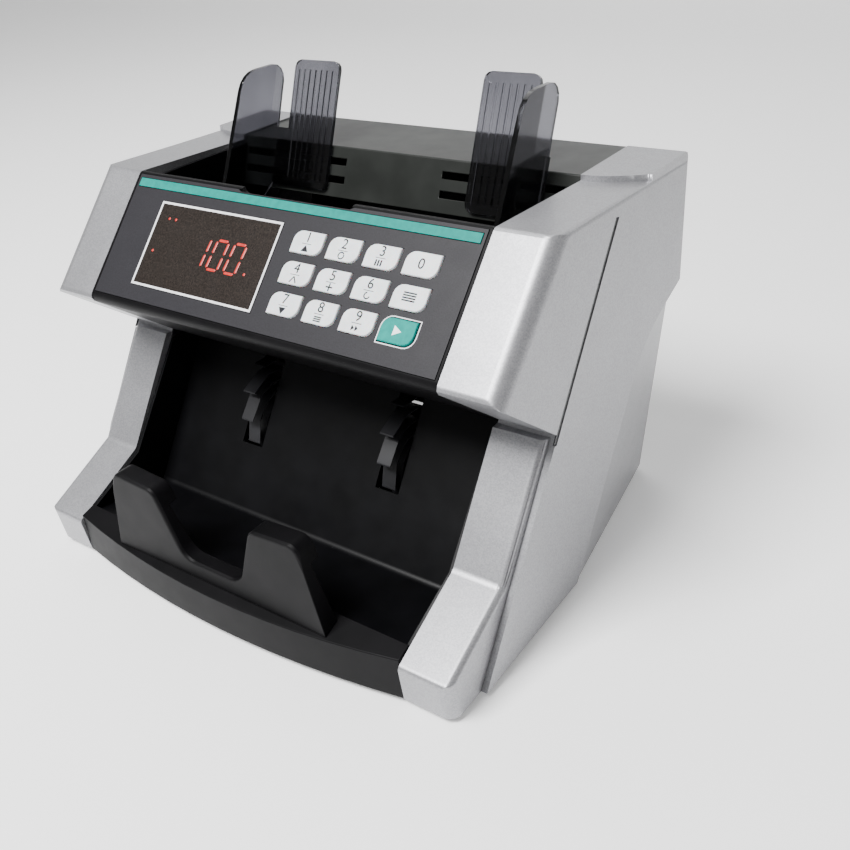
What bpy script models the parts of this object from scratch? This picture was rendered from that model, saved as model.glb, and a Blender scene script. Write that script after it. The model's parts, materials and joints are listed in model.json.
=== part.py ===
"""Banknote counting machine, modelled as an assembly of separate pieces.

Axes: +X to the operator's right, the control panel faces -Y, +Z up. The origin is on the
surface the machine stands on, under the middle of its outline. Sizes are in millimetres
and the shape helpers turn them into metres.
"""
import math

import bmesh
import bpy
from mathutils import Matrix, Vector

MM = 0.001

# Driving dimensions of the housing
WIDTH = 266.0
DEPTH = 222.0
TOP_Z = 183.3            # top of the housing above the table
FOOT_RISE = 3.0          # gap under the housing
CHEEK_WIDTH = 29.0       # each silver side cover, from its outer face inwards
WALL = 2.5
CLEARANCE = 0.3          # between pieces that touch or slide
HALF = WIDTH / 2
INNER = HALF - CHEEK_WIDTH
FRONT_Y = -DEPTH / 2
REAR_Y = DEPTH / 2

# Control panel: a slope from the hopper's lip down to the front of the head
PANEL_DROP = 50.3
PANEL_RUN = 48.0
PANEL_TOP_Y = FRONT_Y + 97.0
PANEL_BOTTOM_Y = PANEL_TOP_Y - PANEL_RUN
PANEL_BOTTOM_Z = TOP_Z - PANEL_DROP
PANEL_ANGLE = math.atan2(PANEL_DROP, PANEL_RUN)
OVERLAY_THICK = 1.2
OVERLAY_TOP = 1.2        # distances down the slope
OVERLAY_BOTTOM = 64.5
OVERLAY_SIDE = 1.6
STRIP_TOP = 3.2
STRIP_BOTTOM = 7.5
NOTCH_HALF = 32.0
NOTCH_DIP = 3.0
NOTCH_SLANT = 2.5        # how far each end of the notch leans out
NOTCH_OVERLAY = 1.3      # the overlay stops this much lower inside the notch
WINDOW_LEFT = 24.7       # from the panel's left edge
WINDOW_WIDTH = 79.2
WINDOW_TOP = 13.3
WINDOW_BOTTOM = 56.6
KEY_WIDTH = 17.0
KEY_LENGTH = 10.6
KEY_RADIUS = 4.5
KEY_PITCH_X = 20.24
KEY_PITCH_S = 14.5
KEY_RIGHT = 25.7         # last column's centre from the panel's right edge
KEY_FIRST_S = 20.57
KEY_PROUD = 1.4

# Silver side cover
HEAD_BOTTOM_Z = 97.4 + TOP_Z - 183.3
SEAM_FOOT_Y = FRONT_Y + 30.4
SEAM_SLOPE = 1.479
BLOCK_STEP_Y = FRONT_Y + 170.0
BLOCK_CURVE = 11.0
CHEEK_FALL = 2.6
SCOOP_STEP = 0.8
SCOOP_FALL = 0.174       # depth gained per millimetre behind the crease
GROOVE_WIDTH = 2.0
GROOVE_DEPTH = 1.2

# Base, legs and the pocket that catches the counted notes
BASE_BOW = 10.0
SHELF_FRONT_Z = 22.5
SHELF_REAR_Z = 27.5
SHELF_FRONT_Y = FRONT_Y + 8.0
SHELF_REAR_Y = FRONT_Y + 18.0
LEG_THICK = 5.6
LEG_BEND_Z = 43.4
CREASE_Y = FRONT_Y + 63.0
CREASE_Z = 17.0
POCKET_DROP = 3.5
STOP_HALF = 69.0
STOP_HEIGHT = 47.5

# Feed drum, rollers and stacker wheels
SHAFT_RADIUS = 4.0
DRUM_RADIUS = 24.0
DRUM_Y = FRONT_Y + 127.0
FLOOR_REAR_Z = TOP_Z - 33.3
FLOOR_FRONT_Z = TOP_Z - 38.3
DRUM_Z = FLOOR_FRONT_Z + 0.5 - DRUM_RADIUS
DRUM_HALF_GAP = 25.0
DRUM_WIDTH = 18.0
PICKUP_RADIUS = 11.0
PICKUP_Y = FRONT_Y + 158.0
PICKUP_Z = FLOOR_REAR_Z + 2.0 - PICKUP_RADIUS
ROLLER_RADIUS = 6.0
STACKER_RADIUS = 34.0
STACKER_SET_BACK = 21.0  # shaft behind the pocket's wall
STACKER_ALONG = 64.4     # shaft along the wall, from the crease
STACKER_X = 45.0
STACKER_THICK = 8.0
VANE_COUNT = 14
VANE_THICK = 1.3
HUB_RADIUS = 12.0
PLATE_X = 98.0
PLATE_THICK = 1.5
PULLEY_X = 107.0
BELT_WIDTH = 6.0
BELT_THICK = 1.4

# Hopper, top cover and note guides
LIP_Y = PANEL_TOP_Y + 2.0
WALL_LEAN = math.radians(67.5)
WALL_FOOT_Y = FRONT_Y + 162.0
WALL_FOOT_Z = TOP_Z - 24.8
COVER_Z = TOP_Z - 0.8
GUIDE_THICK = 2.5
GUIDE_HEIGHT = 62.0
GUIDE_REACH = 42.5
GUIDE_WIDTH = 40.0
RIBBED_WIDTH = 30.0
GUIDE_LEFT_X = -80.0
GUIDE_RIGHT_X = 87.0
HOOK_WIDTH = 9.0
SLOT_HEIGHT = 3.5
SLOT_INNER = 30.0

MODEL = "banknote_counting_machine"


def start():
    for old in list(bpy.data.objects):
        bpy.data.objects.remove(old, do_unlink=True)
    group = bpy.data.collections.new(MODEL)
    bpy.context.scene.collection.children.link(group)
    return group


GROUP = start()


# ---------------------------------------------------------------- helpers
def material(name, colour, roughness, metallic=0.0, alpha=1.0):
    made = bpy.data.materials.new(name)
    made.use_nodes = True
    shader = made.node_tree.nodes["Principled BSDF"]
    shader.inputs["Base Color"].default_value = (*colour, 1.0)
    shader.inputs["Roughness"].default_value = roughness
    shader.inputs["Metallic"].default_value = metallic
    shader.inputs["Alpha"].default_value = alpha
    return made


SILVER = ((0.55, 0.55, 0.56), 0.35, 0.4)
BLACK = ((0.02, 0.02, 0.022), 0.4)
CHARCOAL = ((0.06, 0.06, 0.065), 0.45)
STEEL = ((0.6, 0.6, 0.6), 0.3, 1.0)
RUBBER = ((0.03, 0.03, 0.03), 0.8)


def tilted(angle, y, z, x=0.0):
    """A plane turned about X: its second axis runs up the slope, its third is the normal."""
    return Matrix.Translation(Vector((x, y, z)) * MM) @ Matrix.Rotation(angle, 4, "X")


PLAN = Matrix.Identity(4)
FRONT = tilted(math.radians(90), 0, 0)
SIDE = Matrix(((0, 0, 1, 0), (1, 0, 0, 0), (0, 1, 0, 0), (0, 0, 0, 1)))


def add(name, mesh, matrix=PLAN):
    made = bpy.data.objects.new(name, mesh)
    made.matrix_world = matrix
    GROUP.objects.link(made)
    return made


def settle(obj):
    """Turn an object and its modifiers into one welded mesh with its faces out."""
    bpy.context.view_layer.update()
    graph = bpy.context.evaluated_depsgraph_get()
    mesh = bpy.data.meshes.new_from_object(obj.evaluated_get(graph))
    shape = bmesh.new()
    shape.from_mesh(mesh)
    bmesh.ops.remove_doubles(shape, verts=shape.verts, dist=0.000002)
    bmesh.ops.dissolve_degenerate(shape, edges=shape.edges, dist=0.000002)
    bmesh.ops.recalc_face_normals(shape, faces=shape.faces)
    shape.to_mesh(mesh)
    shape.free()
    made = add(obj.name, mesh, obj.matrix_world.copy())
    name = obj.name
    bpy.data.objects.remove(obj, do_unlink=True)
    made.name = name
    return made


def plate(name, loops, low, high, frame=PLAN):
    """A flat outline, with any holes, drawn in a plane and given a thickness."""
    curve = bpy.data.curves.new(name, "CURVE")
    curve.dimensions = "2D"
    curve.fill_mode = "BOTH"
    curve.extrude = (high - low) / 2 * MM
    for loop in loops:
        spline = curve.splines.new("POLY")
        spline.points.add(len(loop) - 1)
        for point, (across, up) in zip(spline.points, loop):
            point.co = (across * MM, up * MM, 0, 1)
        spline.use_cyclic_u = True
    made = bpy.data.objects.new(name, curve)
    GROUP.objects.link(made)
    made.matrix_world = frame @ Matrix.Translation((0, 0, (low + high) / 2 * MM))
    made = settle(made)
    shape = bmesh.new()
    shape.from_mesh(made.data)
    bmesh.ops.dissolve_limit(shape, angle_limit=0.0005, verts=shape.verts, edges=shape.edges)
    shape.to_mesh(made.data)
    shape.free()
    return made


def box(name, low, high, frame=PLAN):
    shape = bmesh.new()
    bmesh.ops.create_cube(shape, size=1.0)
    mesh = bpy.data.meshes.new(name)
    for corner in shape.verts:
        corner.co = Vector([(a + b) / 2 + c * (b - a) for a, b, c in zip(low, high, corner.co)]) * MM
    shape.to_mesh(mesh)
    shape.free()
    return add(name, mesh, frame)


def cylinder(name, radius, start_x, end_x, y, z, sides=24):
    """A round bar along X."""
    shape = bmesh.new()
    bmesh.ops.create_cone(shape, cap_ends=True, segments=sides, radius1=radius * MM,
                          radius2=radius * MM, depth=(end_x - start_x) * MM)
    mesh = bpy.data.meshes.new(name)
    shape.to_mesh(mesh)
    shape.free()
    place = Matrix.Translation(Vector(((start_x + end_x) / 2, y, z)) * MM)
    return add(name, mesh, place @ SIDE)


def turned(name, profile, frame, steps=24, ring=False):
    """A profile of (radius, height) points, top to bottom, swept round the frame's third axis."""
    mesh = bpy.data.meshes.new(name)
    edges = [(i, i + 1) for i in range(len(profile) - 1)]
    if ring:
        edges.append((len(profile) - 1, 0))
    mesh.from_pydata([(r * MM, 0, h * MM) for r, h in profile], edges, [])
    made = add(name, mesh, frame)
    screw = made.modifiers.new("turn", "SCREW")
    screw.steps = steps
    screw.render_steps = steps
    screw.use_merge_vertices = True
    screw.merge_threshold = 0.00001
    return settle(made)


def boolean(obj, others, operation, solver="EXACT"):
    for other in others:
        step = obj.modifiers.new(operation.lower(), "BOOLEAN")
        step.operation = operation
        step.solver = solver
        step.object = other
        obj = settle(obj)
        bpy.data.objects.remove(other, do_unlink=True)
    return obj


def cut(obj, *others):
    return boolean(obj, others, "DIFFERENCE")


def unite(obj, *others):
    return boolean(obj, others, "UNION")


def gather(name, pieces):
    """Several shapes that don't meet, as one object to cut with."""
    shape = bmesh.new()
    for piece in pieces:
        part = piece.data.copy()
        part.transform(piece.matrix_world)
        shape.from_mesh(part)
        bpy.data.meshes.remove(part)
        bpy.data.objects.remove(piece, do_unlink=True)
    mesh = bpy.data.meshes.new(name)
    shape.to_mesh(mesh)
    shape.free()
    return add(name, mesh)


def soften(obj, rules, segments=3):
    """Round chosen edges; a rule is a radius and a test on the edge's two ends in millimetres."""
    largest = max(radius for radius, test in rules)
    matrix = obj.matrix_world
    weights = obj.data.attributes.new("bevel_weight_edge", "FLOAT", "EDGE")
    for edge in obj.data.edges:
        a, b = (matrix @ obj.data.vertices[i].co / MM for i in edge.vertices)
        for radius, test in rules:
            if test(a, b):
                weights.data[edge.index].value = radius / largest
                break
    step = obj.modifiers.new("round", "BEVEL")
    step.limit_method = "WEIGHT"
    step.width = largest * MM
    step.segments = segments
    step.use_clamp_overlap = True
    return settle(obj)


def finish(obj, name, look, angle=35):
    """Give a finished piece its name, its material and smooth shading."""
    obj.name = name
    obj.data.name = name
    obj.data.materials.clear()
    obj.data.materials.append(material(name, *look))
    obj.data.shade_smooth()
    obj.data.set_sharp_from_angle(angle=math.radians(angle))
    return obj


def mirrored(obj, name, look):
    """The same piece for the other side of the machine."""
    mesh = obj.data.copy()
    mesh.transform(obj.matrix_world)
    mesh.transform(Matrix.Scale(-1, 4, (1, 0, 0)))
    mesh.flip_normals()
    return finish(add(name, mesh), name, look)


def put_origin(obj, x, y, z):
    """Move an object's origin without moving its shape, onto the axis it turns about."""
    place = Matrix.Translation(Vector((x, y, z)) * MM)
    obj.data.transform(place.inverted() @ obj.matrix_world)
    obj.matrix_world = place
    return obj


def arc(cx, cy, radius, first, last, count):
    """Points on an arc; angles in degrees."""
    turns = [math.radians(first + (last - first) * i / count) for i in range(count + 1)]
    return [(cx + radius * math.cos(t), cy + radius * math.sin(t)) for t in turns]


def rounded(corners, count=4):
    """An outline from (across, up, radius) corners; a radius of 0 keeps the corner sharp."""
    points = []
    total = len(corners)
    for i, (x, y, radius) in enumerate(corners):
        here = Vector((x, y))
        if radius == 0:
            points.append((x, y))
            continue
        back = (Vector(corners[i - 1][:2]) - here).normalized()
        ahead = (Vector(corners[(i + 1) % total][:2]) - here).normalized()
        half = back.angle(ahead) / 2
        centre = here + (back + ahead).normalized() * radius / math.sin(half)
        first = here + back * radius / math.tan(half) - centre
        last = here + ahead * radius / math.tan(half) - centre
        sweep = first.angle_signed(last)
        for k in range(count + 1):
            turn = Matrix.Rotation(-sweep * k / count, 2)
            points.append(tuple(centre + turn @ first))
    return points


def rectangle(x0, y0, x1, y1, radius=0.0):
    return rounded([(x0, y0, radius), (x1, y0, radius), (x1, y1, radius), (x0, y1, radius)], 3)


def circle(cx, cy, radius, sides=20):
    return arc(cx, cy, radius, 0, 360 * (sides - 1) / sides, sides - 1)


PANEL = tilted(PANEL_ANGLE, PANEL_TOP_Y, TOP_Z)
LEAN = tilted(WALL_LEAN, WALL_FOOT_Y, WALL_FOOT_Z)
POCKET_TOP_Y = DRUM_Y - 10.0
POCKET_TOP_Z = DRUM_Z - 26.0
POCKET_ANGLE = math.atan2(POCKET_TOP_Z - CREASE_Z, POCKET_TOP_Y - CREASE_Y)
POCKET = tilted(POCKET_ANGLE, CREASE_Y, CREASE_Z)
STACKER_Y = (CREASE_Y + STACKER_ALONG * math.cos(POCKET_ANGLE)
             + STACKER_SET_BACK * math.sin(POCKET_ANGLE))
STACKER_Z = (CREASE_Z + STACKER_ALONG * math.sin(POCKET_ANGLE)
             - STACKER_SET_BACK * math.cos(POCKET_ANGLE))
MOTOR_Y = DRUM_Y + 50.0
MOTOR_Z = 62.0
STACKER_MOTOR_Y = STACKER_Y + 48.0
STACKER_MOTOR_Z = STACKER_Z - 24.0


def seam_y(z):
    return SEAM_FOOT_Y + (z - FOOT_RISE) / SEAM_SLOPE


def bow_y(x):
    """The base's front edge: an arc of a parabola, furthest forward in the middle."""
    return FRONT_Y + BASE_BOW * (x / INNER) ** 2


# ---------------------------------------------------------------- silver covers
def side_cover():
    """Head cheek, side wall and raised block in one moulding, open towards the machine."""
    outline = rounded([
        (PANEL_TOP_Y, TOP_Z, 3), (PANEL_BOTTOM_Y, PANEL_BOTTOM_Z, 3),
        (seam_y(HEAD_BOTTOM_Z), HEAD_BOTTOM_Z, 0), (SEAM_FOOT_Y, FOOT_RISE, 0),
        (REAR_Y, FOOT_RISE, 0), (REAR_Y, TOP_Z, 3)], 2)
    cover = plate("side_cover_right", [outline], INNER, HALF, SIDE)

    def outer(a, b):
        return a.x > HALF - 0.1 and b.x > HALF - 0.1

    def on_panel(a, b):
        top, bottom = sorted((a, b), key=lambda p: -p.z)
        slope = (top.z - bottom.z) / max(abs(top.y - bottom.y), 0.01)
        return outer(a, b) and top.y < PANEL_TOP_Y + 1 and slope < 2 and bottom.z > HEAD_BOTTOM_Z + 30

    cover = soften(cover, [
        (12.0, on_panel),
        (3.0, lambda a, b: outer(a, b) and min(a.z, b.z) > TOP_Z - 4),
        (3.5, lambda a, b: outer(a, b) and min(a.y, b.y) > REAR_Y - 4)], 4)

    step = BLOCK_STEP_Y
    wedge_plan = [(INNER - 5, PANEL_TOP_Y - 40), (HALF + 5, PANEL_TOP_Y - 40),
                  (HALF + 5, step + BLOCK_CURVE), (HALF - 2, step + BLOCK_CURVE)]
    wedge_plan += [(HALF - 2 - (CHEEK_WIDTH - 2) * i / 6, step + BLOCK_CURVE * (1 - i / 6) ** 2)
                   for i in range(1, 7)]
    wedge_plan.append((INNER - 5, step))
    fall = math.atan2(CHEEK_FALL, step - PANEL_TOP_Y)
    tilt = tilted(-fall, PANEL_TOP_Y, TOP_Z)
    local = [(x, y - PANEL_TOP_Y) for x, y in wedge_plan]
    cover = cut(cover, plate("wedge", [local], 0, 12, tilt))

    inset = WALL + 6
    room = [(PANEL_TOP_Y + 5, TOP_Z - 6), (PANEL_BOTTOM_Y + inset + 3, PANEL_BOTTOM_Z - 1),
            (seam_y(HEAD_BOTTOM_Z) + WALL, HEAD_BOTTOM_Z + WALL), (SEAM_FOOT_Y + WALL, FOOT_RISE - 4),
            (REAR_Y - WALL - 2, FOOT_RISE - 4), (REAR_Y - WALL - 2, TOP_Z - 6)]
    cover = cut(cover, carved(plate("room", [room], INNER - 5, HALF - WALL, SIDE), -WALL - 0.5))
    cover = carved(cover, 0.0)

    top, low = TOP_Z - 8.0, HEAD_BOTTOM_Z - 4.0
    side = GROOVE_WIDTH / 2
    groove = [(seam_y(top) - side, top), (seam_y(low) - side, low),
              (seam_y(low) + side, low), (seam_y(top) + side, top)]
    return cut(cover, plate("groove", [groove], HALF - GROOVE_DEPTH, HALF + 5, SIDE))


def crease():
    """The edge of the scoop: parallel to the seam, then swept round to the rear."""
    low = (SEAM_FOOT_Y + 79.0, FOOT_RISE - 6)
    bend_z = TOP_Z - 79.0
    bend = (low[0] + (bend_z - low[1]) / SEAM_SLOPE, bend_z)
    return rounded([(*low, 0), (*bend, 60), (REAR_Y + 8, bend_z + 18, 0), (REAR_Y + 8, FOOT_RISE - 6, 0)], 6)


def carved(cover, offset):
    """Take away what lies outside a plane that leans inwards behind the crease."""
    scoop = plate("scoop", [crease()], HALF - 1, HALF + 8, SIDE)
    normal = Vector((SEAM_SLOPE, -1.0)).normalized()
    for corner in scoop.data.vertices:
        y, z, x = (scoop.matrix_world.to_3x3().inverted() @ (scoop.matrix_world @ corner.co)) / MM
        if corner.co.z < 0:
            behind = max((Vector((y, z)) - Vector((SEAM_FOOT_Y + 79.0, FOOT_RISE - 6))).dot(normal), 0)
            depth = SCOOP_STEP + SCOOP_FALL * behind - offset
            corner.co.z -= (depth - 1) * MM
    return cut(cover, scoop)


def front_leg():
    """The recessed front face of the side, flaring forward into a hollow foot."""
    gap = CLEARANCE + 0.1
    low_y = SHELF_FRONT_Y + 2
    top = HEAD_BOTTOM_Z - 1.2
    outline = rounded([
        (seam_y(top) - gap, top, 0), (seam_y(top) - 4.2, top, 0),
        (seam_y(LEG_BEND_Z) - LEG_THICK, LEG_BEND_Z, 7), (SHELF_FRONT_Y, SHELF_FRONT_Z, 3),
        (low_y, FOOT_RISE, 0), (SEAM_FOOT_Y - gap, FOOT_RISE, 0)], 4)
    leg = plate("front_leg_right", [outline], INNER, HALF - 3, SIDE)
    leg = soften(leg, [
        (9.0, lambda a, b: min(a.x, b.x) > HALF - 3.1 and max(a.y, b.y) < SHELF_FRONT_Y + 3
         and abs(a.z - b.z) > 8),
        (2.0, lambda a, b: min(a.x, b.x) > HALF - 3.1 and max(a.y, b.y) < seam_y(LEG_BEND_Z) - 3
         and min(a.z, b.z) > FOOT_RISE + 5)], 3)
    hollow = [(low_y + 4, FOOT_RISE - 3), (SEAM_FOOT_Y - 5, FOOT_RISE - 3),
              (SEAM_FOOT_Y - 1, FOOT_RISE + 7), (low_y + 18, SHELF_FRONT_Z + 2), (low_y + 4, SHELF_FRONT_Z - 6)]
    return cut(leg, plate("hollow", [hollow], INNER + 3, HALF - 8, SIDE))


def trim_strip():
    top, low = TOP_Z - 8.5, HEAD_BOTTOM_Z - 3.4
    side = GROOVE_WIDTH / 2 - CLEARANCE
    outline = [(seam_y(top) - side, top), (seam_y(low) - side, low),
               (seam_y(low) + side, low), (seam_y(top) + side, top)]
    return plate("trim_strip_right", [outline], HALF - GROOVE_DEPTH + CLEARANCE, HALF - 0.3, SIDE)


def silver_covers():
    for build, name, look in ((side_cover, "side_cover", SILVER), (front_leg, "front_leg", SILVER),
                              (trim_strip, "trim_strip", CHARCOAL)):
        piece = finish(build(), name + "_right", look)
        mirrored(piece, name + "_left", look)


# ---------------------------------------------------------------- base and pocket
FOOT_PLACES = [(x, y) for x in (INNER - 22, 22 - INNER) for y in (FRONT_Y + 32, REAR_Y - 24)]


def base_tray():
    edge = INNER - CLEARANCE
    wide = HALF - WALL - 1
    rear = REAR_Y - WALL - 3
    foot_y = SEAM_FOOT_Y + WALL + 6
    narrow = HALF - 24
    bow = [(x, bow_y(x)) for x in [edge * (i / 6 - 1) for i in range(13)]]
    neck = edge - 1
    floor = [(-neck, SHELF_REAR_Y - 5), (neck, SHELF_REAR_Y - 5), (neck, foot_y), (wide, foot_y),
             (wide, SEAM_FOOT_Y + 66), (narrow, rear), (-narrow, rear), (-wide, SEAM_FOOT_Y + 66),
             (-wide, foot_y), (-neck, foot_y)]
    studs = [circle(x, y, 3 + CLEARANCE, 12) for x, y in FOOT_PLACES]
    vents = [rectangle(x - 1.5, FRONT_Y + 130, x + 1.5, FRONT_Y + 160)
             for x in (-62, -54, -46, -38, -30, 30, 38, 46, 54, 62)]
    tray = plate("base_tray", [floor], FOOT_RISE + 0.2, FOOT_RISE + WALL)
    nose = plate("nose", [bow + [(edge, SHELF_REAR_Y), (-edge, SHELF_REAR_Y)]], FOOT_RISE, SHELF_REAR_Z)
    rise = math.atan2(SHELF_REAR_Z - SHELF_FRONT_Z, SHELF_REAR_Y - FRONT_Y)
    nose = cut(nose, box("slice", (-HALF, -20, 0), (HALF, 60, 20), tilted(rise, FRONT_Y, SHELF_FRONT_Z)))
    nose = cut(nose, box("under", (WALL - edge, FRONT_Y + BASE_BOW + WALL, FOOT_RISE + WALL + 0.6),
                         (edge - WALL, REAR_Y, SHELF_FRONT_Z - WALL)))
    tray = boolean(tray, [nose], "UNION", "MANIFOLD")
    holes = gather("holes", [plate("hole", [loop], 0, 9) for loop in studs + vents])
    return finish(cut(tray, holes), "base_tray", BLACK)


def feet():
    for i, (x, y) in enumerate(FOOT_PLACES, 1):
        top = FOOT_RISE - CLEARANCE
        profile = [(0, FOOT_RISE + 5), (3, FOOT_RISE + 5), (3, top), (8.5, top), (9, top - 1), (8, 0), (0, 0)]
        frame = Matrix.Translation(Vector((x, y, 0)) * MM)
        finish(turned(f"foot_{i}", profile, frame, 20), f"foot_{i}", RUBBER)


def stacker_pocket():
    """Floor and sloped wall the notes stand against, with notches for the stacker wheels."""
    edge = INNER - CLEARANCE
    reach = math.hypot(POCKET_TOP_Y - CREASE_Y, POCKET_TOP_Z - CREASE_Z)
    lean = Vector((math.cos(POCKET_ANGLE), math.sin(POCKET_ANGLE)))
    back = Vector((lean.y, -lean.x)) * WALL
    floor_front = (SHELF_REAR_Y + CLEARANCE, SHELF_REAR_Z - POCKET_DROP)
    profile = rounded([
        (*floor_front, 0), (CREASE_Y, CREASE_Z, 4), (POCKET_TOP_Y, POCKET_TOP_Z, 0),
        (POCKET_TOP_Y + back.x, POCKET_TOP_Z + back.y, 0),
        (CREASE_Y + WALL * 0.5, CREASE_Z - WALL, 5), (floor_front[0], floor_front[1] - WALL, 0)], 3)
    pocket = plate("stacker_pocket", [profile], -edge, edge, SIDE)
    for side in (-1, 1):
        half = STACKER_THICK / 2 + 3
        centre = side * STACKER_X
        notch = box("notch", (centre - half, STACKER_ALONG - 29, -6), (centre + half, reach + 5, 6), POCKET)
        pocket = cut(pocket, notch)
    for side in (-1, 1):
        a, b = sorted((side * edge, side * (edge - 1.6)))
        cheek = [(floor_front[0], floor_front[1] - 2), (CREASE_Y, CREASE_Z - 2),
                 (POCKET_TOP_Y, POCKET_TOP_Z), (seam_y(POCKET_TOP_Z - 8) + 4, POCKET_TOP_Z - 3),
                 (seam_y(LEG_BEND_Z) - 6, LEG_BEND_Z - 2), (floor_front[0], SHELF_REAR_Z - 1)]
        pocket = unite(pocket, plate("cheek", [cheek], a, b, SIDE))
    return finish(pocket, "stacker_pocket", BLACK)


def stacker_guide():
    """The two-lobed stop that keeps the counted notes from sliding out."""
    low, high = SHELF_FRONT_Z - 6, SHELF_FRONT_Z + STOP_HEIGHT
    saddle = SHELF_FRONT_Z + 11.0
    half = [(STOP_HALF, low, 0), (STOP_HALF - 10.5, high, 6), (30.5, high - 2, 6), (18, saddle, 9)]
    outline = rounded(half + [(-x, z, r) for x, z, r in reversed(half)], 4)
    front = SHELF_FRONT_Y - 2.5
    guide = plate("stacker_guide", [outline], -front - 10.5, -front, FRONT)
    guide = soften(guide, [(1.6, lambda a, b: max(a.y, b.y) < front + 0.1 and min(a.z, b.z) > low + 1)], 2)
    lean = math.radians(6.5)
    behind = box("behind", (-HALF, -30, 0), (HALF, 90, 30), tilted(math.radians(90), front + 9.0, low + 12)
                 @ Matrix.Rotation(math.pi + lean, 4, "X"))
    guide = cut(guide, behind)
    rise = math.atan2(SHELF_REAR_Z - SHELF_FRONT_Z, SHELF_REAR_Y - FRONT_Y)
    under = box("under", (-HALF, -40, -30), (HALF, 60, CLEARANCE), tilted(rise, FRONT_Y, SHELF_FRONT_Z))
    return finish(cut(guide, under), "stacker_guide", BLACK)


# ---------------------------------------------------------------- control head
def key_place(column, row):
    x = INNER - KEY_RIGHT - (3 - column) * KEY_PITCH_X
    return x, -(KEY_FIRST_S + row * KEY_PITCH_S)


def key_outline(x, s, grow=0.0):
    """A keycap with two opposite corners rounded."""
    a, b = KEY_WIDTH / 2 + grow, KEY_LENGTH / 2 + grow
    return rounded([(x - a, s - b, 0), (x + a, s - b, KEY_RADIUS + grow), (x + a, s + b, 0),
                    (x - a, s + b, KEY_RADIUS + grow)], 4)


def window_outline(grow=0.0):
    left = WINDOW_LEFT - INNER - grow
    right = WINDOW_LEFT - INNER + WINDOW_WIDTH + grow
    return rectangle(left, -WINDOW_BOTTOM - grow, right, -WINDOW_TOP + grow)


def strip_outline(grow=0.0):
    """The coloured strip, straight across just under the finger notch."""
    side = INNER - 3.5 + grow
    return [(-side, -STRIP_BOTTOM - grow), (side, -STRIP_BOTTOM - grow), (side, -STRIP_TOP + grow),
            (-side, -STRIP_TOP + grow)]


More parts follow.
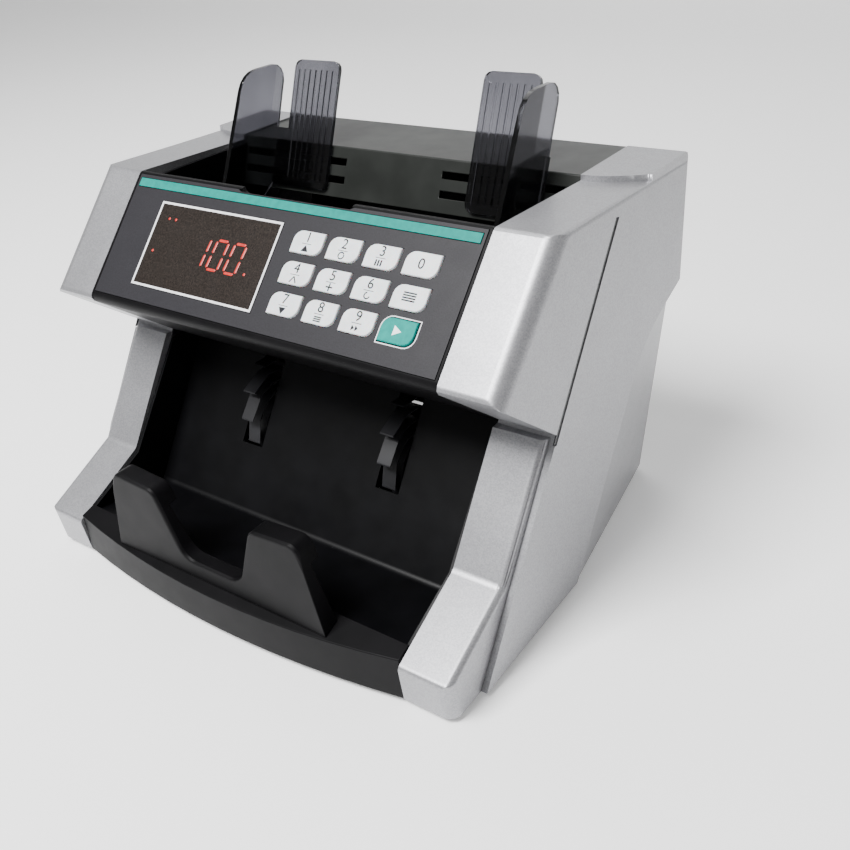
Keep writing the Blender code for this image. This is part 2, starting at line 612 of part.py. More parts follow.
def control_head():
    """The bezel under the overlay, the overlay itself, the strip, the window and the keys."""
    edge = INNER - CLEARANCE
    inside = 3.2
    end_y = seam_y(HEAD_BOTTOM_Z) - 1
    skin = rounded([
        (LIP_Y, TOP_Z - 2.2, 0), (LIP_Y, TOP_Z - 0.2, 0), (PANEL_TOP_Y, TOP_Z - 0.2, 1.5),
        (PANEL_BOTTOM_Y, PANEL_BOTTOM_Z, 4), (end_y, HEAD_BOTTOM_Z + 0.6, 0),
        (end_y, HEAD_BOTTOM_Z + inside + 1.2, 0), (PANEL_BOTTOM_Y + 5.2, PANEL_BOTTOM_Z + 0.3, 2),
        (PANEL_TOP_Y + 1.2, TOP_Z - 4.4, 0)], 3)
    bezel = plate("control_bezel", [skin], -edge, edge, SIDE)
    overlay_edge = edge - OVERLAY_SIDE
    recess = rectangle(-overlay_edge - CLEARANCE, -OVERLAY_BOTTOM - CLEARANCE,
                       overlay_edge + CLEARANCE, -OVERLAY_TOP + CLEARANCE)
    bezel = cut(bezel, plate("recess", [recess], -OVERLAY_THICK - 0.1, 5, PANEL))
    dip = rounded([(-NOTCH_HALF - NOTCH_SLANT, 4, 0), (NOTCH_HALF + NOTCH_SLANT, 4, 0), (NOTCH_HALF, -NOTCH_DIP, 3),
                   (-NOTCH_HALF, -NOTCH_DIP, 3)], 3)
    bezel = cut(bezel, plate("dip", [[(x, z + TOP_Z) for x, z in dip]], -LIP_Y - 1, -PANEL_TOP_Y + 1.5, FRONT))
    places = [key_place(column, row) for row in range(3) for column in range(4)]
    holes = [plate("hole", [key_outline(x, s, CLEARANCE)], -9, 3, PANEL) for x, s in places]
    holes.append(plate("pane", [window_outline(-2)], -9, 3, PANEL))
    bezel = cut(bezel, gather("holes", holes))
    finish(bezel, "control_bezel", BLACK)

    notched = rounded([(-overlay_edge, -OVERLAY_BOTTOM, 0), (overlay_edge, -OVERLAY_BOTTOM, 0),
                       (overlay_edge, -OVERLAY_TOP, 0), (NOTCH_HALF + NOTCH_SLANT, -OVERLAY_TOP, 0),
                       (NOTCH_HALF, -OVERLAY_TOP - NOTCH_OVERLAY, 0), (-NOTCH_HALF, -OVERLAY_TOP - NOTCH_OVERLAY, 0),
                       (-NOTCH_HALF - NOTCH_SLANT, -OVERLAY_TOP, 0), (-overlay_edge, -OVERLAY_TOP, 0)], 2)
    loops = [notched, strip_outline(CLEARANCE), window_outline(CLEARANCE)]
    loops += [key_outline(x, s, CLEARANCE) for x, s in places]
    low = 0.25 - OVERLAY_THICK
    finish(plate("control_overlay", loops, low, 0.2, PANEL), "control_overlay", CHARCOAL)
    finish(plate("accent_strip", [strip_outline()], low, 0.5, PANEL), "accent_strip", ((0.03, 0.45, 0.4), 0.35))
    pane = plate("display_window", [window_outline()], low, 0.35, PANEL)
    finish(pane, "display_window", ((0.03, 0.02, 0.02), 0.15))

    names = ["key_1", "key_2", "key_3", "key_0", "key_4", "key_5", "key_6", "key_batch",
             "key_7", "key_8", "key_9", "key_start"]
    cap = plate("cap", [key_outline(0, 0)], -6.0, KEY_PROUD)
    cap = soften(cap, [(0.6, lambda a, b: min(a.z, b.z) > KEY_PROUD - 0.1)], 2)
    flange = plate("flange", [rectangle(-9.2, -6.3, 9.2, 6.3)], -6.2, -5.0)
    cap = unite(cap, flange)
    for name, (x, s) in zip(names, places):
        look = ((0.03, 0.42, 0.38), 0.3) if name == "key_start" else ((0.7, 0.72, 0.73), 0.3)
        key = add(name, cap.data.copy(), PANEL @ Matrix.Translation(Vector((x, s, 0)) * MM) @ cap.matrix_world)
        finish(key, name, look)
    bpy.data.objects.remove(cap, do_unlink=True)

    boards = INNER - 8
    board = plate("panel_board", [rectangle(-boards, -54, boards, -16)], -11.2, -9.6, PANEL)
    module = box("module", (WINDOW_LEFT - INNER + 8, -51, -10), (WINDOW_LEFT - INNER + 68, -21, -3), PANEL)
    finish(unite(board, module), "panel_board", ((0.02, 0.12, 0.05), 0.5))


# ---------------------------------------------------------------- hopper, cover, guides
def hopper_tray():
    """The bin the notes are loaded into: front wall, side walls and a floor cut for the rollers."""
    edge = INNER - CLEARANCE
    front_y = LIP_Y + CLEARANCE + 2.2
    rear_y = WALL_FOOT_Y - 4.5
    section = rounded([
        (front_y - 2.2, TOP_Z - 4.5, 0), (front_y, TOP_Z - 4.5, 0), (front_y, FLOOR_FRONT_Z, 3),
        (DRUM_Y + 4, FLOOR_FRONT_Z + 0.5, 0), (PICKUP_Y - 6, FLOOR_REAR_Z, 0), (rear_y, FLOOR_REAR_Z, 0),
        (rear_y, FLOOR_REAR_Z - WALL, 0), (PICKUP_Y - 5, FLOOR_REAR_Z - WALL, 0),
        (DRUM_Y + 5, FLOOR_FRONT_Z + 0.5 - WALL, 0), (front_y - 2.2, FLOOR_FRONT_Z - WALL, 3)], 3)
    tray = plate("hopper_tray", [section], -edge, edge, SIDE)
    for side in (-1, 1):
        a, b = sorted((side * edge, side * (edge - 2)))
        wall = [(front_y - 2, FLOOR_FRONT_Z - 2), (rear_y, FLOOR_REAR_Z - 2), (rear_y + 3, WALL_FOOT_Z),
                (rear_y + 12, TOP_Z - 4.5), (front_y - 2, TOP_Z - 4.5)]
        tray = unite(tray, plate("wall", [wall], a, b, SIDE))
    slots = []
    for side in (-1, 1):
        x = side * DRUM_HALF_GAP
        half = DRUM_WIDTH / 2 + 1.5
        slots.append(box("slot", (x - half, DRUM_Y - 15, FLOOR_FRONT_Z - 6), (x + half, DRUM_Y + 15, FLOOR_REAR_Z)))
        slots.append(box("slot", (x - 9, PICKUP_Y - 10, FLOOR_REAR_Z - 6), (x + 9, PICKUP_Y + 9.5, FLOOR_REAR_Z + 2)))
    slots.append(box("slot", (-12.5, DRUM_Y - 24, FLOOR_FRONT_Z - 6), (12.5, DRUM_Y - 6, FLOOR_FRONT_Z + 6)))
    return finish(cut(tray, gather("slots", slots)), "hopper_tray", BLACK)


def top_cover():
    """The flat rear lid with the slotted wall the note guides hang on."""
    edge = INNER - CLEARANCE
    lean = (math.cos(WALL_LEAN), math.sin(WALL_LEAN))
    rise = COVER_Z - WALL_FOOT_Z
    shelf_y = WALL_FOOT_Y + rise * lean[0] / lean[1]
    rear = REAR_Y - 1
    section = rounded([
        (WALL_FOOT_Y, WALL_FOOT_Z, 0), (shelf_y, COVER_Z, 1.0), (rear, COVER_Z, 1.0), (rear, COVER_Z - 5, 0),
        (rear - 2, COVER_Z - 5, 0), (rear - 2, COVER_Z - 2, 0), (shelf_y + 1.7, COVER_Z - 2, 0),
        (WALL_FOOT_Y + 2.7, WALL_FOOT_Z, 0)], 2)
    cover = plate("top_cover", [section], -edge, edge, SIDE)
    slots = []
    for side in (-1, 1):
        for up in (7.3, 16.5):
            a, b = sorted((side * SLOT_INNER, side * (edge - 3)))
            slots.append(box("slot", (a, up, -8), (b, up + SLOT_HEIGHT, 5), LEAN))
    return finish(cut(cover, gather("slots", slots)), "top_cover", ((0.16, 0.165, 0.16), 0.3))


def note_guide(name, outer_x, inward):
    """Smoked clear guide: ribbed back plate, side plate and two hooks in the cover's slots."""
    lift = 0.5
    length = GUIDE_HEIGHT / math.sin(WALL_LEAN)
    far = outer_x + inward * GUIDE_WIDTH
    near = far - inward * RIBBED_WIDTH
    inner = outer_x + inward * GUIDE_THICK

    def span(p, q):
        return tuple(sorted((p, q)))

    left, right = span(near, far)
    back = rectangle(left, 2.5, right, length, 4)
    guide = plate(name, [back], lift, lift + GUIDE_THICK, LEAN)
    left, right = span(outer_x, near + inward * 5)
    bridge = rectangle(left, 2.5, right, 32)
    guide = unite(guide, plate("bridge", [bridge], lift, lift + GUIDE_THICK, LEAN))
    foot_y = WALL_FOOT_Y - (lift + GUIDE_THICK / 2) / math.sin(WALL_LEAN)
    lean = math.cos(WALL_LEAN) / math.sin(WALL_LEAN)
    top_z = WALL_FOOT_Z + GUIDE_HEIGHT
    front_y = WALL_FOOT_Y - GUIDE_REACH
    side_plate = rounded([
        (front_y, WALL_FOOT_Z - 2.0, 4), (front_y + 34, top_z, 15), (foot_y + GUIDE_HEIGHT * lean, top_z, 7),
        (foot_y + 2.5 * lean, WALL_FOOT_Z + 2.5, 0), (foot_y - 6, WALL_FOOT_Z - 2.0, 0)], 4)
    guide = unite(guide, plate("side", [side_plate], *span(outer_x, inner), SIDE))
    pitch = RIBBED_WIDTH / 8
    grooves = []
    for i in range(7):
        x = near + inward * pitch * (i + 1)
        grooves.append(box("groove", (x - 0.6, 6, lift + GUIDE_THICK - 0.8),
                           (x + 0.6, length - 5, lift + GUIDE_THICK + 2), LEAN))
    guide = cut(guide, gather("grooves", grooves))
    middle = (near + far) / 2
    for up in (7.3, 16.5):
        low = up + CLEARANCE + 0.2
        hook = box("hook", (middle - HOOK_WIDTH / 2, low, -4.5),
                   (middle + HOOK_WIDTH / 2, low + SLOT_HEIGHT - 1.0, lift + 1), LEAN)
        guide = unite(guide, hook)
    return finish(guide, name, ((0.12, 0.12, 0.13), 0.08, 0.0, 0.5))


# ---------------------------------------------------------------- feeding mechanism
def stacker_wheel(name, x):
    """A wheel of swept vanes whose pockets catch each note and lay it on the stack."""
    points = []
    for i in range(VANE_COUNT):
        base = 2 * math.pi * i / VANE_COUNT
        for side in (-1, 1):
            run = range(5) if side < 0 else range(4, -1, -1)
            for k in run:
                t = k / 4
                radius = HUB_RADIUS + (STACKER_RADIUS - HUB_RADIUS) * t
                sweep = base + 1.25 * t ** 1.35
                half = VANE_THICK * (1.5 - 0.9 * t) / 2 / radius
                points.append((radius * math.cos(sweep + side * half), radius * math.sin(sweep + side * half)))
    bore = circle(0, 0, SHAFT_RADIUS + CLEARANCE, 16)
    place = Matrix.Translation(Vector((x, STACKER_Y, STACKER_Z)) * MM) @ SIDE
    wheel = plate(name, [points, bore], -STACKER_THICK / 2, STACKER_THICK / 2, place)
    return finish(wheel, name, ((0.05, 0.05, 0.055), 0.5))


def wheel_on_shaft(name, x, y, z, radius, width, bore, look, crown=0.6, sides=24):
    half = width / 2
    profile = [(bore, half), (radius - crown, half), (radius, half - crown), (radius, crown - half),
               (radius - crown, -half), (bore, -half)]
    place = Matrix.Translation(Vector((x, y, z)) * MM) @ SIDE
    return finish(turned(name, profile, place, sides, ring=True), name, look)


def belt(name, x, first, second):
    """A flat belt round two pulleys; each is (y, z, radius)."""
    y1, z1, r1 = first
    y2, z2, r2 = second
    apart = math.hypot(y2 - y1, z2 - z1)
    heading = math.atan2(z2 - z1, y2 - y1)
    loops = []
    for extra in (CLEARANCE, CLEARANCE + BELT_THICK):
        side = math.acos((r1 - r2) / apart)
        a, b = math.degrees(heading + side), math.degrees(heading - side)
        loops.append(arc(y1, z1, r1 + extra, a, b + 360, 12) + arc(y2, z2, r2 + extra, b, a, 10))
    made = plate(name, loops, x - BELT_WIDTH / 2, x + BELT_WIDTH / 2, SIDE)
    return finish(made, name, RUBBER)


def pulley_pair(x):
    return x - BELT_WIDTH / 2 - 1, x + BELT_WIDTH / 2 + 1


def mechanism():
    reach = PLATE_X + PLATE_THICK / 2
    pulley_low, pulley_high = pulley_pair(PULLEY_X)

    drum = cylinder("drum_shaft", SHAFT_RADIUS, -pulley_high - 2, reach + 2, DRUM_Y, DRUM_Z, 20)
    drum = unite(drum, cylinder("disc", 20, -pulley_high, -pulley_low, DRUM_Y, DRUM_Z, 28))
    put_origin(finish(drum, "drum_shaft", STEEL), 0, DRUM_Y, DRUM_Z)
    for side, name in ((-1, "left"), (1, "right")):
        wheel_on_shaft(f"feed_wheel_{name}", side * DRUM_HALF_GAP, DRUM_Y, DRUM_Z, DRUM_RADIUS, DRUM_WIDTH,
                       SHAFT_RADIUS + CLEARANCE, RUBBER, 1.5, 32)

    pickup = cylinder("pickup_shaft", 3, -reach - 2, reach + 2, PICKUP_Y, PICKUP_Z, 16)
    for side in (-1, 1):
        roller = cylinder("roller", PICKUP_RADIUS, side * DRUM_HALF_GAP - 7, side * DRUM_HALF_GAP + 7,
                          PICKUP_Y, PICKUP_Z, 28)
        pickup = unite(pickup, roller)
    put_origin(finish(pickup, "pickup_roller", RUBBER), 0, PICKUP_Y, PICKUP_Z)

    retard = cylinder("retard_roller", ROLLER_RADIUS, -6, 6, DRUM_Y - 16, DRUM_Z + 26, 20)
    retard = unite(retard, cylinder("pin", 1.8, -13, 13, DRUM_Y - 16, DRUM_Z + 26, 12))
    put_origin(finish(retard, "retard_roller", RUBBER), 0, DRUM_Y - 16, DRUM_Z + 26)
    bracket = rounded([(LIP_Y + 3.0, DRUM_Z + 42, 0), (LIP_Y + 5.0, DRUM_Z + 42, 0), (LIP_Y + 5.0, DRUM_Z + 34, 0),
                       (DRUM_Y - 11, DRUM_Z + 30, 3), (DRUM_Y - 12, DRUM_Z + 21.5, 3),
                       (DRUM_Y - 20, DRUM_Z + 21.5, 3), (LIP_Y + 3.0, DRUM_Z + 31, 0)], 2)
    pin_hole = circle(DRUM_Y - 16, DRUM_Z + 26, 1.8 + CLEARANCE, 12)
    holder = plate("retard_holder", [bracket, pin_hole], 9, 11, SIDE)
    other = plate("arm", [bracket, pin_hole], -11, -9, SIDE)
    tie = box("tie", (-9.5, LIP_Y + 3.0, DRUM_Z + 36), (9.5, LIP_Y + 5.0, DRUM_Z + 42))
    finish(unite(unite(holder, tie), other), "retard_holder", STEEL)

    pinch_y, pinch_z = DRUM_Y - 30, DRUM_Z - 8
    pinch = cylinder("pinch_roller", 2.5, -reach - 2, reach + 2, pinch_y, pinch_z, 14)
    for side in (-1, 1):
        pinch = unite(pinch, cylinder("tyre", ROLLER_RADIUS, side * DRUM_HALF_GAP - 7,
                                      side * DRUM_HALF_GAP + 7, pinch_y, pinch_z, 20))
    put_origin(finish(pinch, "pinch_roller", RUBBER), 0, pinch_y, pinch_z)

    shaft = cylinder("stacker_shaft", SHAFT_RADIUS, -reach - 2, pulley_high + 2, STACKER_Y, STACKER_Z, 20)
    shaft = unite(shaft, cylinder("disc", 16, pulley_low, pulley_high, STACKER_Y, STACKER_Z, 28))
    put_origin(finish(shaft, "stacker_shaft", STEEL), 0, STACKER_Y, STACKER_Z)
    for side, name in ((-1, "left"), (1, "right")):
        stacker_wheel(f"stacker_wheel_{name}", side * STACKER_X)

    pivots = ((DRUM_Y, DRUM_Z, SHAFT_RADIUS), (PICKUP_Y, PICKUP_Z, 3), (pinch_y, pinch_z, 2.5),
              (STACKER_Y, STACKER_Z, SHAFT_RADIUS))
    outline = [(CREASE_Y + 14, 9), (POCKET_TOP_Y + 9, POCKET_TOP_Z - 2), (pinch_y - 5, pinch_z - 6),
               (pinch_y - 5, pinch_z + 9), (DRUM_Y - 12, FLOOR_FRONT_Z - 5), (DRUM_Y + 6, FLOOR_FRONT_Z - 5),
               (PICKUP_Y - 5, FLOOR_REAR_Z - 5.5), (REAR_Y - 40, FLOOR_REAR_Z - 5.5),
               (REAR_Y - 16, FLOOR_REAR_Z - 30), (REAR_Y - 16, 9)]
    window = rounded([(DRUM_Y + 22, 16, 5), (REAR_Y - 24, 16, 5), (REAR_Y - 24, 38, 5), (DRUM_Y + 62, 38, 5)], 3)
    for side, name in ((-1, "left"), (1, "right")):
        a, b = sorted((side * (PLATE_X - PLATE_THICK / 2), side * (PLATE_X + PLATE_THICK / 2)))
        holes = [circle(y, z, r + CLEARANCE, 14) for y, z, r in pivots]
        holes.append(circle(MOTOR_Y, MOTOR_Z, 6, 14) if side < 0 else circle(STACKER_MOTOR_Y, STACKER_MOTOR_Z, 5, 14))
        piece = plate(f"chassis_plate_{name}", [outline] + holes + ([window] if side < 0 else []), a, b, SIDE)
        finish(piece, f"chassis_plate_{name}", STEEL)

    inner_face = PLATE_X - PLATE_THICK / 2 - CLEARANCE
    finish(cylinder("drive_motor", 21, -inner_face, -inner_face + 58, MOTOR_Y, MOTOR_Z, 28), "drive_motor", STEEL)
    spindle = cylinder("motor_pulley", 3, -pulley_high - 2, -inner_face - CLEARANCE, MOTOR_Y, MOTOR_Z, 14)
    spindle = unite(spindle, cylinder("disc", 10, -pulley_high, -pulley_low, MOTOR_Y, MOTOR_Z, 20))
    put_origin(finish(spindle, "motor_pulley", STEEL), 0, MOTOR_Y, MOTOR_Z)
    belt("drive_belt", -PULLEY_X, (DRUM_Y, DRUM_Z, 20), (MOTOR_Y, MOTOR_Z, 10))

    finish(cylinder("stacker_motor", 15, inner_face - 40, inner_face, STACKER_MOTOR_Y, STACKER_MOTOR_Z, 24),
           "stacker_motor", STEEL)
    spindle = cylinder("stacker_pulley", 2.5, inner_face + CLEARANCE, pulley_high + 2, STACKER_MOTOR_Y, STACKER_MOTOR_Z, 14)
    spindle = unite(spindle, cylinder("disc", 8, pulley_low, pulley_high, STACKER_MOTOR_Y, STACKER_MOTOR_Z, 20))
    put_origin(finish(spindle, "stacker_pulley", STEEL), 0, STACKER_MOTOR_Y, STACKER_MOTOR_Z)
    belt("stacker_belt", PULLEY_X, (STACKER_Y, STACKER_Z, 16), (STACKER_MOTOR_Y, STACKER_MOTOR_Z, 8))

    coil = box("transformer", (-80, REAR_Y - 66, 9), (-30, REAR_Y - 26, 36))
    finish(coil, "transformer", ((0.25, 0.2, 0.12), 0.5))
    board = box("main_board", (-20, REAR_Y - 70, 10), (60, REAR_Y - 20, 11.6))
    for x, y, size, high in ((-8, -60, 10, 12), (8, -45, 16, 4), (32, -55, 12, 3), (42, -32, 8, 14)):
        board = unite(board, box("chip", (x, REAR_Y + y, 11), (x + size, REAR_Y + y + size * 0.8, 11.6 + high)))
    finish(board, "main_board", ((0.02, 0.15, 0.06), 0.5))


# ---------------------------------------------------------------- rear
REAR_PANEL_TOP_Z = 70.0
DOOR_FOOT_Z = 76.0
HINGE_RADIUS = 2.5
INLET_X = -62.0
SWITCH_X = -20.0


def rear():
    edge = INNER - CLEARANCE
    face = REAR_Y - 1
    inlet = rectangle(INLET_X - 14, 22, INLET_X + 14, 43, 3)
    switch = rectangle(SWITCH_X - 10, 22, SWITCH_X + 10, 36, 1)
    socket = rectangle(40, 24, 54, 38)
    vents = [rectangle(x, 50, x + 3, 64) for x in range(-90, 92, 9)]
    panel = plate("rear_panel", [rectangle(-edge, FOOT_RISE + WALL + CLEARANCE, edge, REAR_PANEL_TOP_Z), inlet, switch,
                                 socket] + vents, -face, -face + WALL, FRONT)
    finish(panel, "rear_panel", BLACK)

    gap = CLEARANCE
    body = plate("power_inlet", [rectangle(INLET_X - 14 + gap, 22 + gap, INLET_X + 14 - gap, 43 - gap, 3)],
                 -face, -face + 22, FRONT)
    well = plate("well", [rectangle(INLET_X - 11.5, 24.5, INLET_X + 11.5, 40.5, 4)], -face - 5, -face + 16, FRONT)
    pins = [box("pin", (INLET_X + dx - 1, face - 17, z - 2), (INLET_X + dx + 1, face - 3, z + 2))
            for dx, z in ((-7, 31), (7, 31), (0, 35))]
    finish(unite(cut(body, well), *pins), "power_inlet", BLACK)

    rocker = rounded([(face - 8, 23, 0), (face - 0.5, 22.6, 1), (face + 0.2, 29, 2), (face - 0.5, 35.4, 1),
                      (face - 8, 35, 0)], 2)
    rocker = plate("power_switch", [rocker], SWITCH_X - 9.4, SWITCH_X + 9.4, SIDE)
    put_origin(finish(rocker, "power_switch", ((0.5, 0.03, 0.02), 0.4)), SWITCH_X, face - 5, 29)
    jack = plate("display_socket", [rectangle(40 + gap, 24 + gap, 54 - gap, 38 - gap)], -face, -face + 14, FRONT)
    mouth = plate("mouth", [rectangle(42, 26, 52, 36)], -face - 5, -face + 11, FRONT)
    finish(cut(jack, mouth), "display_socket", BLACK)

    door_y = face - WALL / 2
    door = plate("rear_door", [rectangle(-edge, DOOR_FOOT_Z, edge, COVER_Z - 6, 0)], -face, -face + WALL, FRONT)
    knuckle = cylinder("knuckle", HINGE_RADIUS, -edge + 14, edge - 14, door_y - 1.2, DOOR_FOOT_Z, 16)
    pull = plate("pull", [rectangle(-25, COVER_Z - 22, 25, COVER_Z - 12, 3)], -face - 3, -face + 1, FRONT)
    door = cut(unite(door, knuckle), pull)
    put_origin(finish(door, "rear_door", BLACK), 0, door_y - 1.2, DOOR_FOOT_Z)


silver_covers()
base_tray()
feet()
stacker_pocket()
stacker_guide()
control_head()
hopper_tray()
top_cover()
note_guide("note_guide_left", GUIDE_LEFT_X, 1)
note_guide("note_guide_right", GUIDE_RIGHT_X, -1)
mechanism()
rear()
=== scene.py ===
import json
import math

import bmesh
import bpy
import numpy as np
from mathutils import Matrix, Vector


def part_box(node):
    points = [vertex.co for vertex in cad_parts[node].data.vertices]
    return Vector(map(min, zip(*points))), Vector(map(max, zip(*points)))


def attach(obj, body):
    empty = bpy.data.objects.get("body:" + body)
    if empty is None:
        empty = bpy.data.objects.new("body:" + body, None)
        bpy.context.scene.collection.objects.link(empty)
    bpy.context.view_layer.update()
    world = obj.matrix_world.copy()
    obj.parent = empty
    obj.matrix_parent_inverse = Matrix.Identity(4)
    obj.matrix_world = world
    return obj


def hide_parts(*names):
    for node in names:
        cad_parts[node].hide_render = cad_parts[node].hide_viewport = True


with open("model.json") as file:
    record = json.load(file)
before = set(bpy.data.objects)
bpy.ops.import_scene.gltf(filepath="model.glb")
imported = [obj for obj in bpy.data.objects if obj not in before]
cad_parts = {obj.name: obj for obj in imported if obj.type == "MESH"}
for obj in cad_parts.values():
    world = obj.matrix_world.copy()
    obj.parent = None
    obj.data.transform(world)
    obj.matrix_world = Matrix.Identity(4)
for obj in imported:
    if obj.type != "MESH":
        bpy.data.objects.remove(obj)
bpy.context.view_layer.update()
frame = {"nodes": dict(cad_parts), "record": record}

mm = 0.001
print("frame loaded:", len(frame["nodes"]), "nodes")

# The control panel's own axes are right, up the slope and out of it. Its slope is the angle whose tangent is the
# drop over the run, in metres, counted from the panel's top edge.
panel = {"topY": -0.014, "topZ": 0.1833, "drop": 0.0503, "run": 0.048}
panelAngle = math.atan2(panel["drop"], panel["run"])
panelMatrix = Matrix.Translation((0, panel["topY"], panel["topZ"])) @ Matrix.Rotation(panelAngle, 4, "X")


# small tools
def srgb(code):
    # A hex colour as the eye reads it, turned to the linear values that shaders use: a value up to 0.04045 is
    # divided by 12.92, a larger one has 0.055 added, is divided by 1.055 and raised to the power 2.4.
    values = [int(code[i:i + 2], 16) / 255 for i in (1, 3, 5)]
    linear = [v / 12.92 if v <= 0.04045 else ((v + 0.055) / 1.055) ** 2.4 for v in values]
    return (*linear, 1.0)


def addNode(tree, kind, settings=None, links=None):
    # A setting goes to the input of that name, or else to the node itself; a link feeds the input it names.
    node = tree.nodes.new(kind)
    for key, value in (settings or {}).items():
        if key in node.inputs:
            node.inputs[key].default_value = value
        else:
            setattr(node, key, value)
    for key, source in (links or {}).items():
        tree.links.new(source, node.inputs[key])
    return node


def newMaterial(name, **sockets):
    # A principled material; an underscore in a socket's name stands for a space.
    made = bpy.data.materials.new(name)
    made.use_nodes = True
    shader = made.node_tree.nodes["Principled BSDF"]
    for key, value in sockets.items():
        shader.inputs[key.replace("_", " ")].default_value = value
    return made, made.node_tree, shader


def objectPoint(tree):
    # The point's place in the object's own coordinates, in metres.
    return addNode(tree, "ShaderNodeTexCoord").outputs["Object"]


def noise(tree, sizeMm, detail=2.0, rough=0.5):
    # Noise whose blotches are about sizeMm across: its scale is one over that size in metres.
    settings = {"Scale": 1 / (sizeMm * mm), "Detail": detail, "Roughness": rough}
    return addNode(tree, "ShaderNodeTexNoise", settings, {"Vector": objectPoint(tree)}).outputs["Fac"]


def blendColours(tree, factor, low, high, start=0.35, end=0.65):
    # The first colour up to start, the second from end on, and a straight blend between them.
    ramp = addNode(tree, "ShaderNodeValToRGB", links={"Fac": factor})
    ramp.color_ramp.elements[0].position = start
    ramp.color_ramp.elements[1].position = end
    ramp.color_ramp.elements[0].color = srgb(low)
    ramp.color_ramp.elements[1].color = srgb(high)
    return ramp.outputs["Color"]


def roughBetween(tree, factor, low, high):
    # Low plus the factor times the distance from low to high.
    settings = {"To Min": low, "To Max": high}
    return addNode(tree, "ShaderNodeMapRange", settings, {"Value": factor}).outputs["Result"]


def bumpFrom(tree, shader, height, distanceMm, strength=0.5):
    # The surface is lit as if it rose by distanceMm where the height is one.
    settings = {"Strength": strength, "Distance": distanceMm * mm}
    bump = addNode(tree, "ShaderNodeBump", settings, {"Height": height})
    tree.links.new(bump.outputs["Normal"], shader.inputs["Normal"])


# materials, named for what they are and how their surface was made
def silverLacquer():
    # ABS moulding sprayed with silver flake lacquer: a satin skin with a fine sparkle.
    made, tree, shader = newMaterial("silverLacquer", Metallic=0.7, Roughness=0.4, Coat_Weight=0.1)
    flakes = addNode(tree, "ShaderNodeTexVoronoi", {"Scale": 1 / (0.55 * mm)}, {"Vector": objectPoint(tree)})
    spark = addNode(tree, "ShaderNodeSeparateColor", links={"Color": flakes.outputs["Color"]}).outputs["Red"]
    tree.links.new(blendColours(tree, spark, "#919194", "#A0A0A3", 0.1, 0.9), shader.inputs["Base Color"])
    tree.links.new(roughBetween(tree, noise(tree, 14.0), 0.36, 0.46), shader.inputs["Roughness"])
    bumpFrom(tree, shader, noise(tree, 0.7), 0.012, 0.25)
    return made


def sparkErodedAbs(name, dark, light, low, high, grainMm=0.6, depth=0.03, shine=0.3):
    # Black ABS from a spark-eroded mould: even fine grain that spreads the highlights.
    made, tree, shader = newMaterial(name, Roughness=low, Specular_IOR_Level=shine)
    tree.links.new(blendColours(tree, noise(tree, 22.0, 3.0), dark, light), shader.inputs["Base Color"])
    tree.links.new(roughBetween(tree, noise(tree, 9.0), low, high), shader.inputs["Roughness"])
    bumpFrom(tree, shader, noise(tree, grainMm, 1.0), depth, 0.5)
    return made


def printedFilm():
    # Polycarbonate overlay film with a velvet grain: charcoal, soft sheen, tiny light specks.
    made, tree, shader = newMaterial("printedFilm", Roughness=0.5, IOR=1.58, Specular_IOR_Level=0.15)
    grain = noise(tree, 0.45, 1.0)
    tree.links.new(blendColours(tree, grain, "#1B1A1D", "#252428", 0.3, 0.7), shader.inputs["Base Color"])
    tree.links.new(roughBetween(tree, noise(tree, 12.0), 0.44, 0.56), shader.inputs["Roughness"])
    bumpFrom(tree, shader, grain, 0.02, 0.4)
    return made


def plainInk(name, low, high, rough):
    # Screen-printed ink: flat colour with a faint unevenness of the print.
    made, tree, shader = newMaterial(name, Roughness=rough, Specular_IOR_Level=0.1)
    tree.links.new(blendColours(tree, noise(tree, 3.0), low, high), shader.inputs["Base Color"])
    bumpFrom(tree, shader, noise(tree, 0.5), 0.01, 0.3)
    return made


def keyResin():
    # Milky moulded resin keys: pale grey that lets a little light in at the edges.
    made, tree, shader = newMaterial("keyResin", Roughness=0.36, Subsurface_Weight=0.15, Subsurface_Scale=0.002)
    tree.links.new(blendColours(tree, noise(tree, 5.0), "#D5D8DA", "#DFE2E4"), shader.inputs["Base Color"])
    bumpFrom(tree, shader, noise(tree, 0.5), 0.015, 0.3)
    return made


def smokedAcrylic():
    # Injection-moulded smoked acrylic: clear, dark at its edges, with faint flow marks.
    made, tree, shader = newMaterial("smokedAcrylic", Roughness=0.1, IOR=1.36, Transmission_Weight=1.0)
    tree.links.new(blendColours(tree, noise(tree, 30.0), "#66666D", "#74747B"), shader.inputs["Base Color"])
    bumpFrom(tree, shader, noise(tree, 9.0), 0.01, 0.1)
    return made


def tintedPane():
    # Dark brown filter pane in front of the digits: gloss over a speckled print.
    made, tree, shader = newMaterial("tintedPane", Roughness=0.22, Specular_IOR_Level=0.3, Coat_Weight=0.1)
    tree.links.new(blendColours(tree, noise(tree, 0.8, 2.0), "#15110F", "#29231F", 0.3, 0.7),
                   shader.inputs["Base Color"])
    tree.links.new(roughBetween(tree, noise(tree, 6.0), 0.2, 0.3), shader.inputs["Roughness"])
    return made


def litSegment():
    # Red light-emitting bars behind the pane: a soft glow that varies a little in tone.
    made, tree, shader = newMaterial("litSegment", Roughness=0.4, Emission_Strength=0.55)
    tree.links.new(blendColours(tree, noise(tree, 1.2), "#D8160C", "#F0281A"), shader.inputs["Emission Color"])
    tree.links.new(blendColours(tree, noise(tree, 1.2), "#8A1C14", "#A2261C"), shader.inputs["Base Color"])
    return made


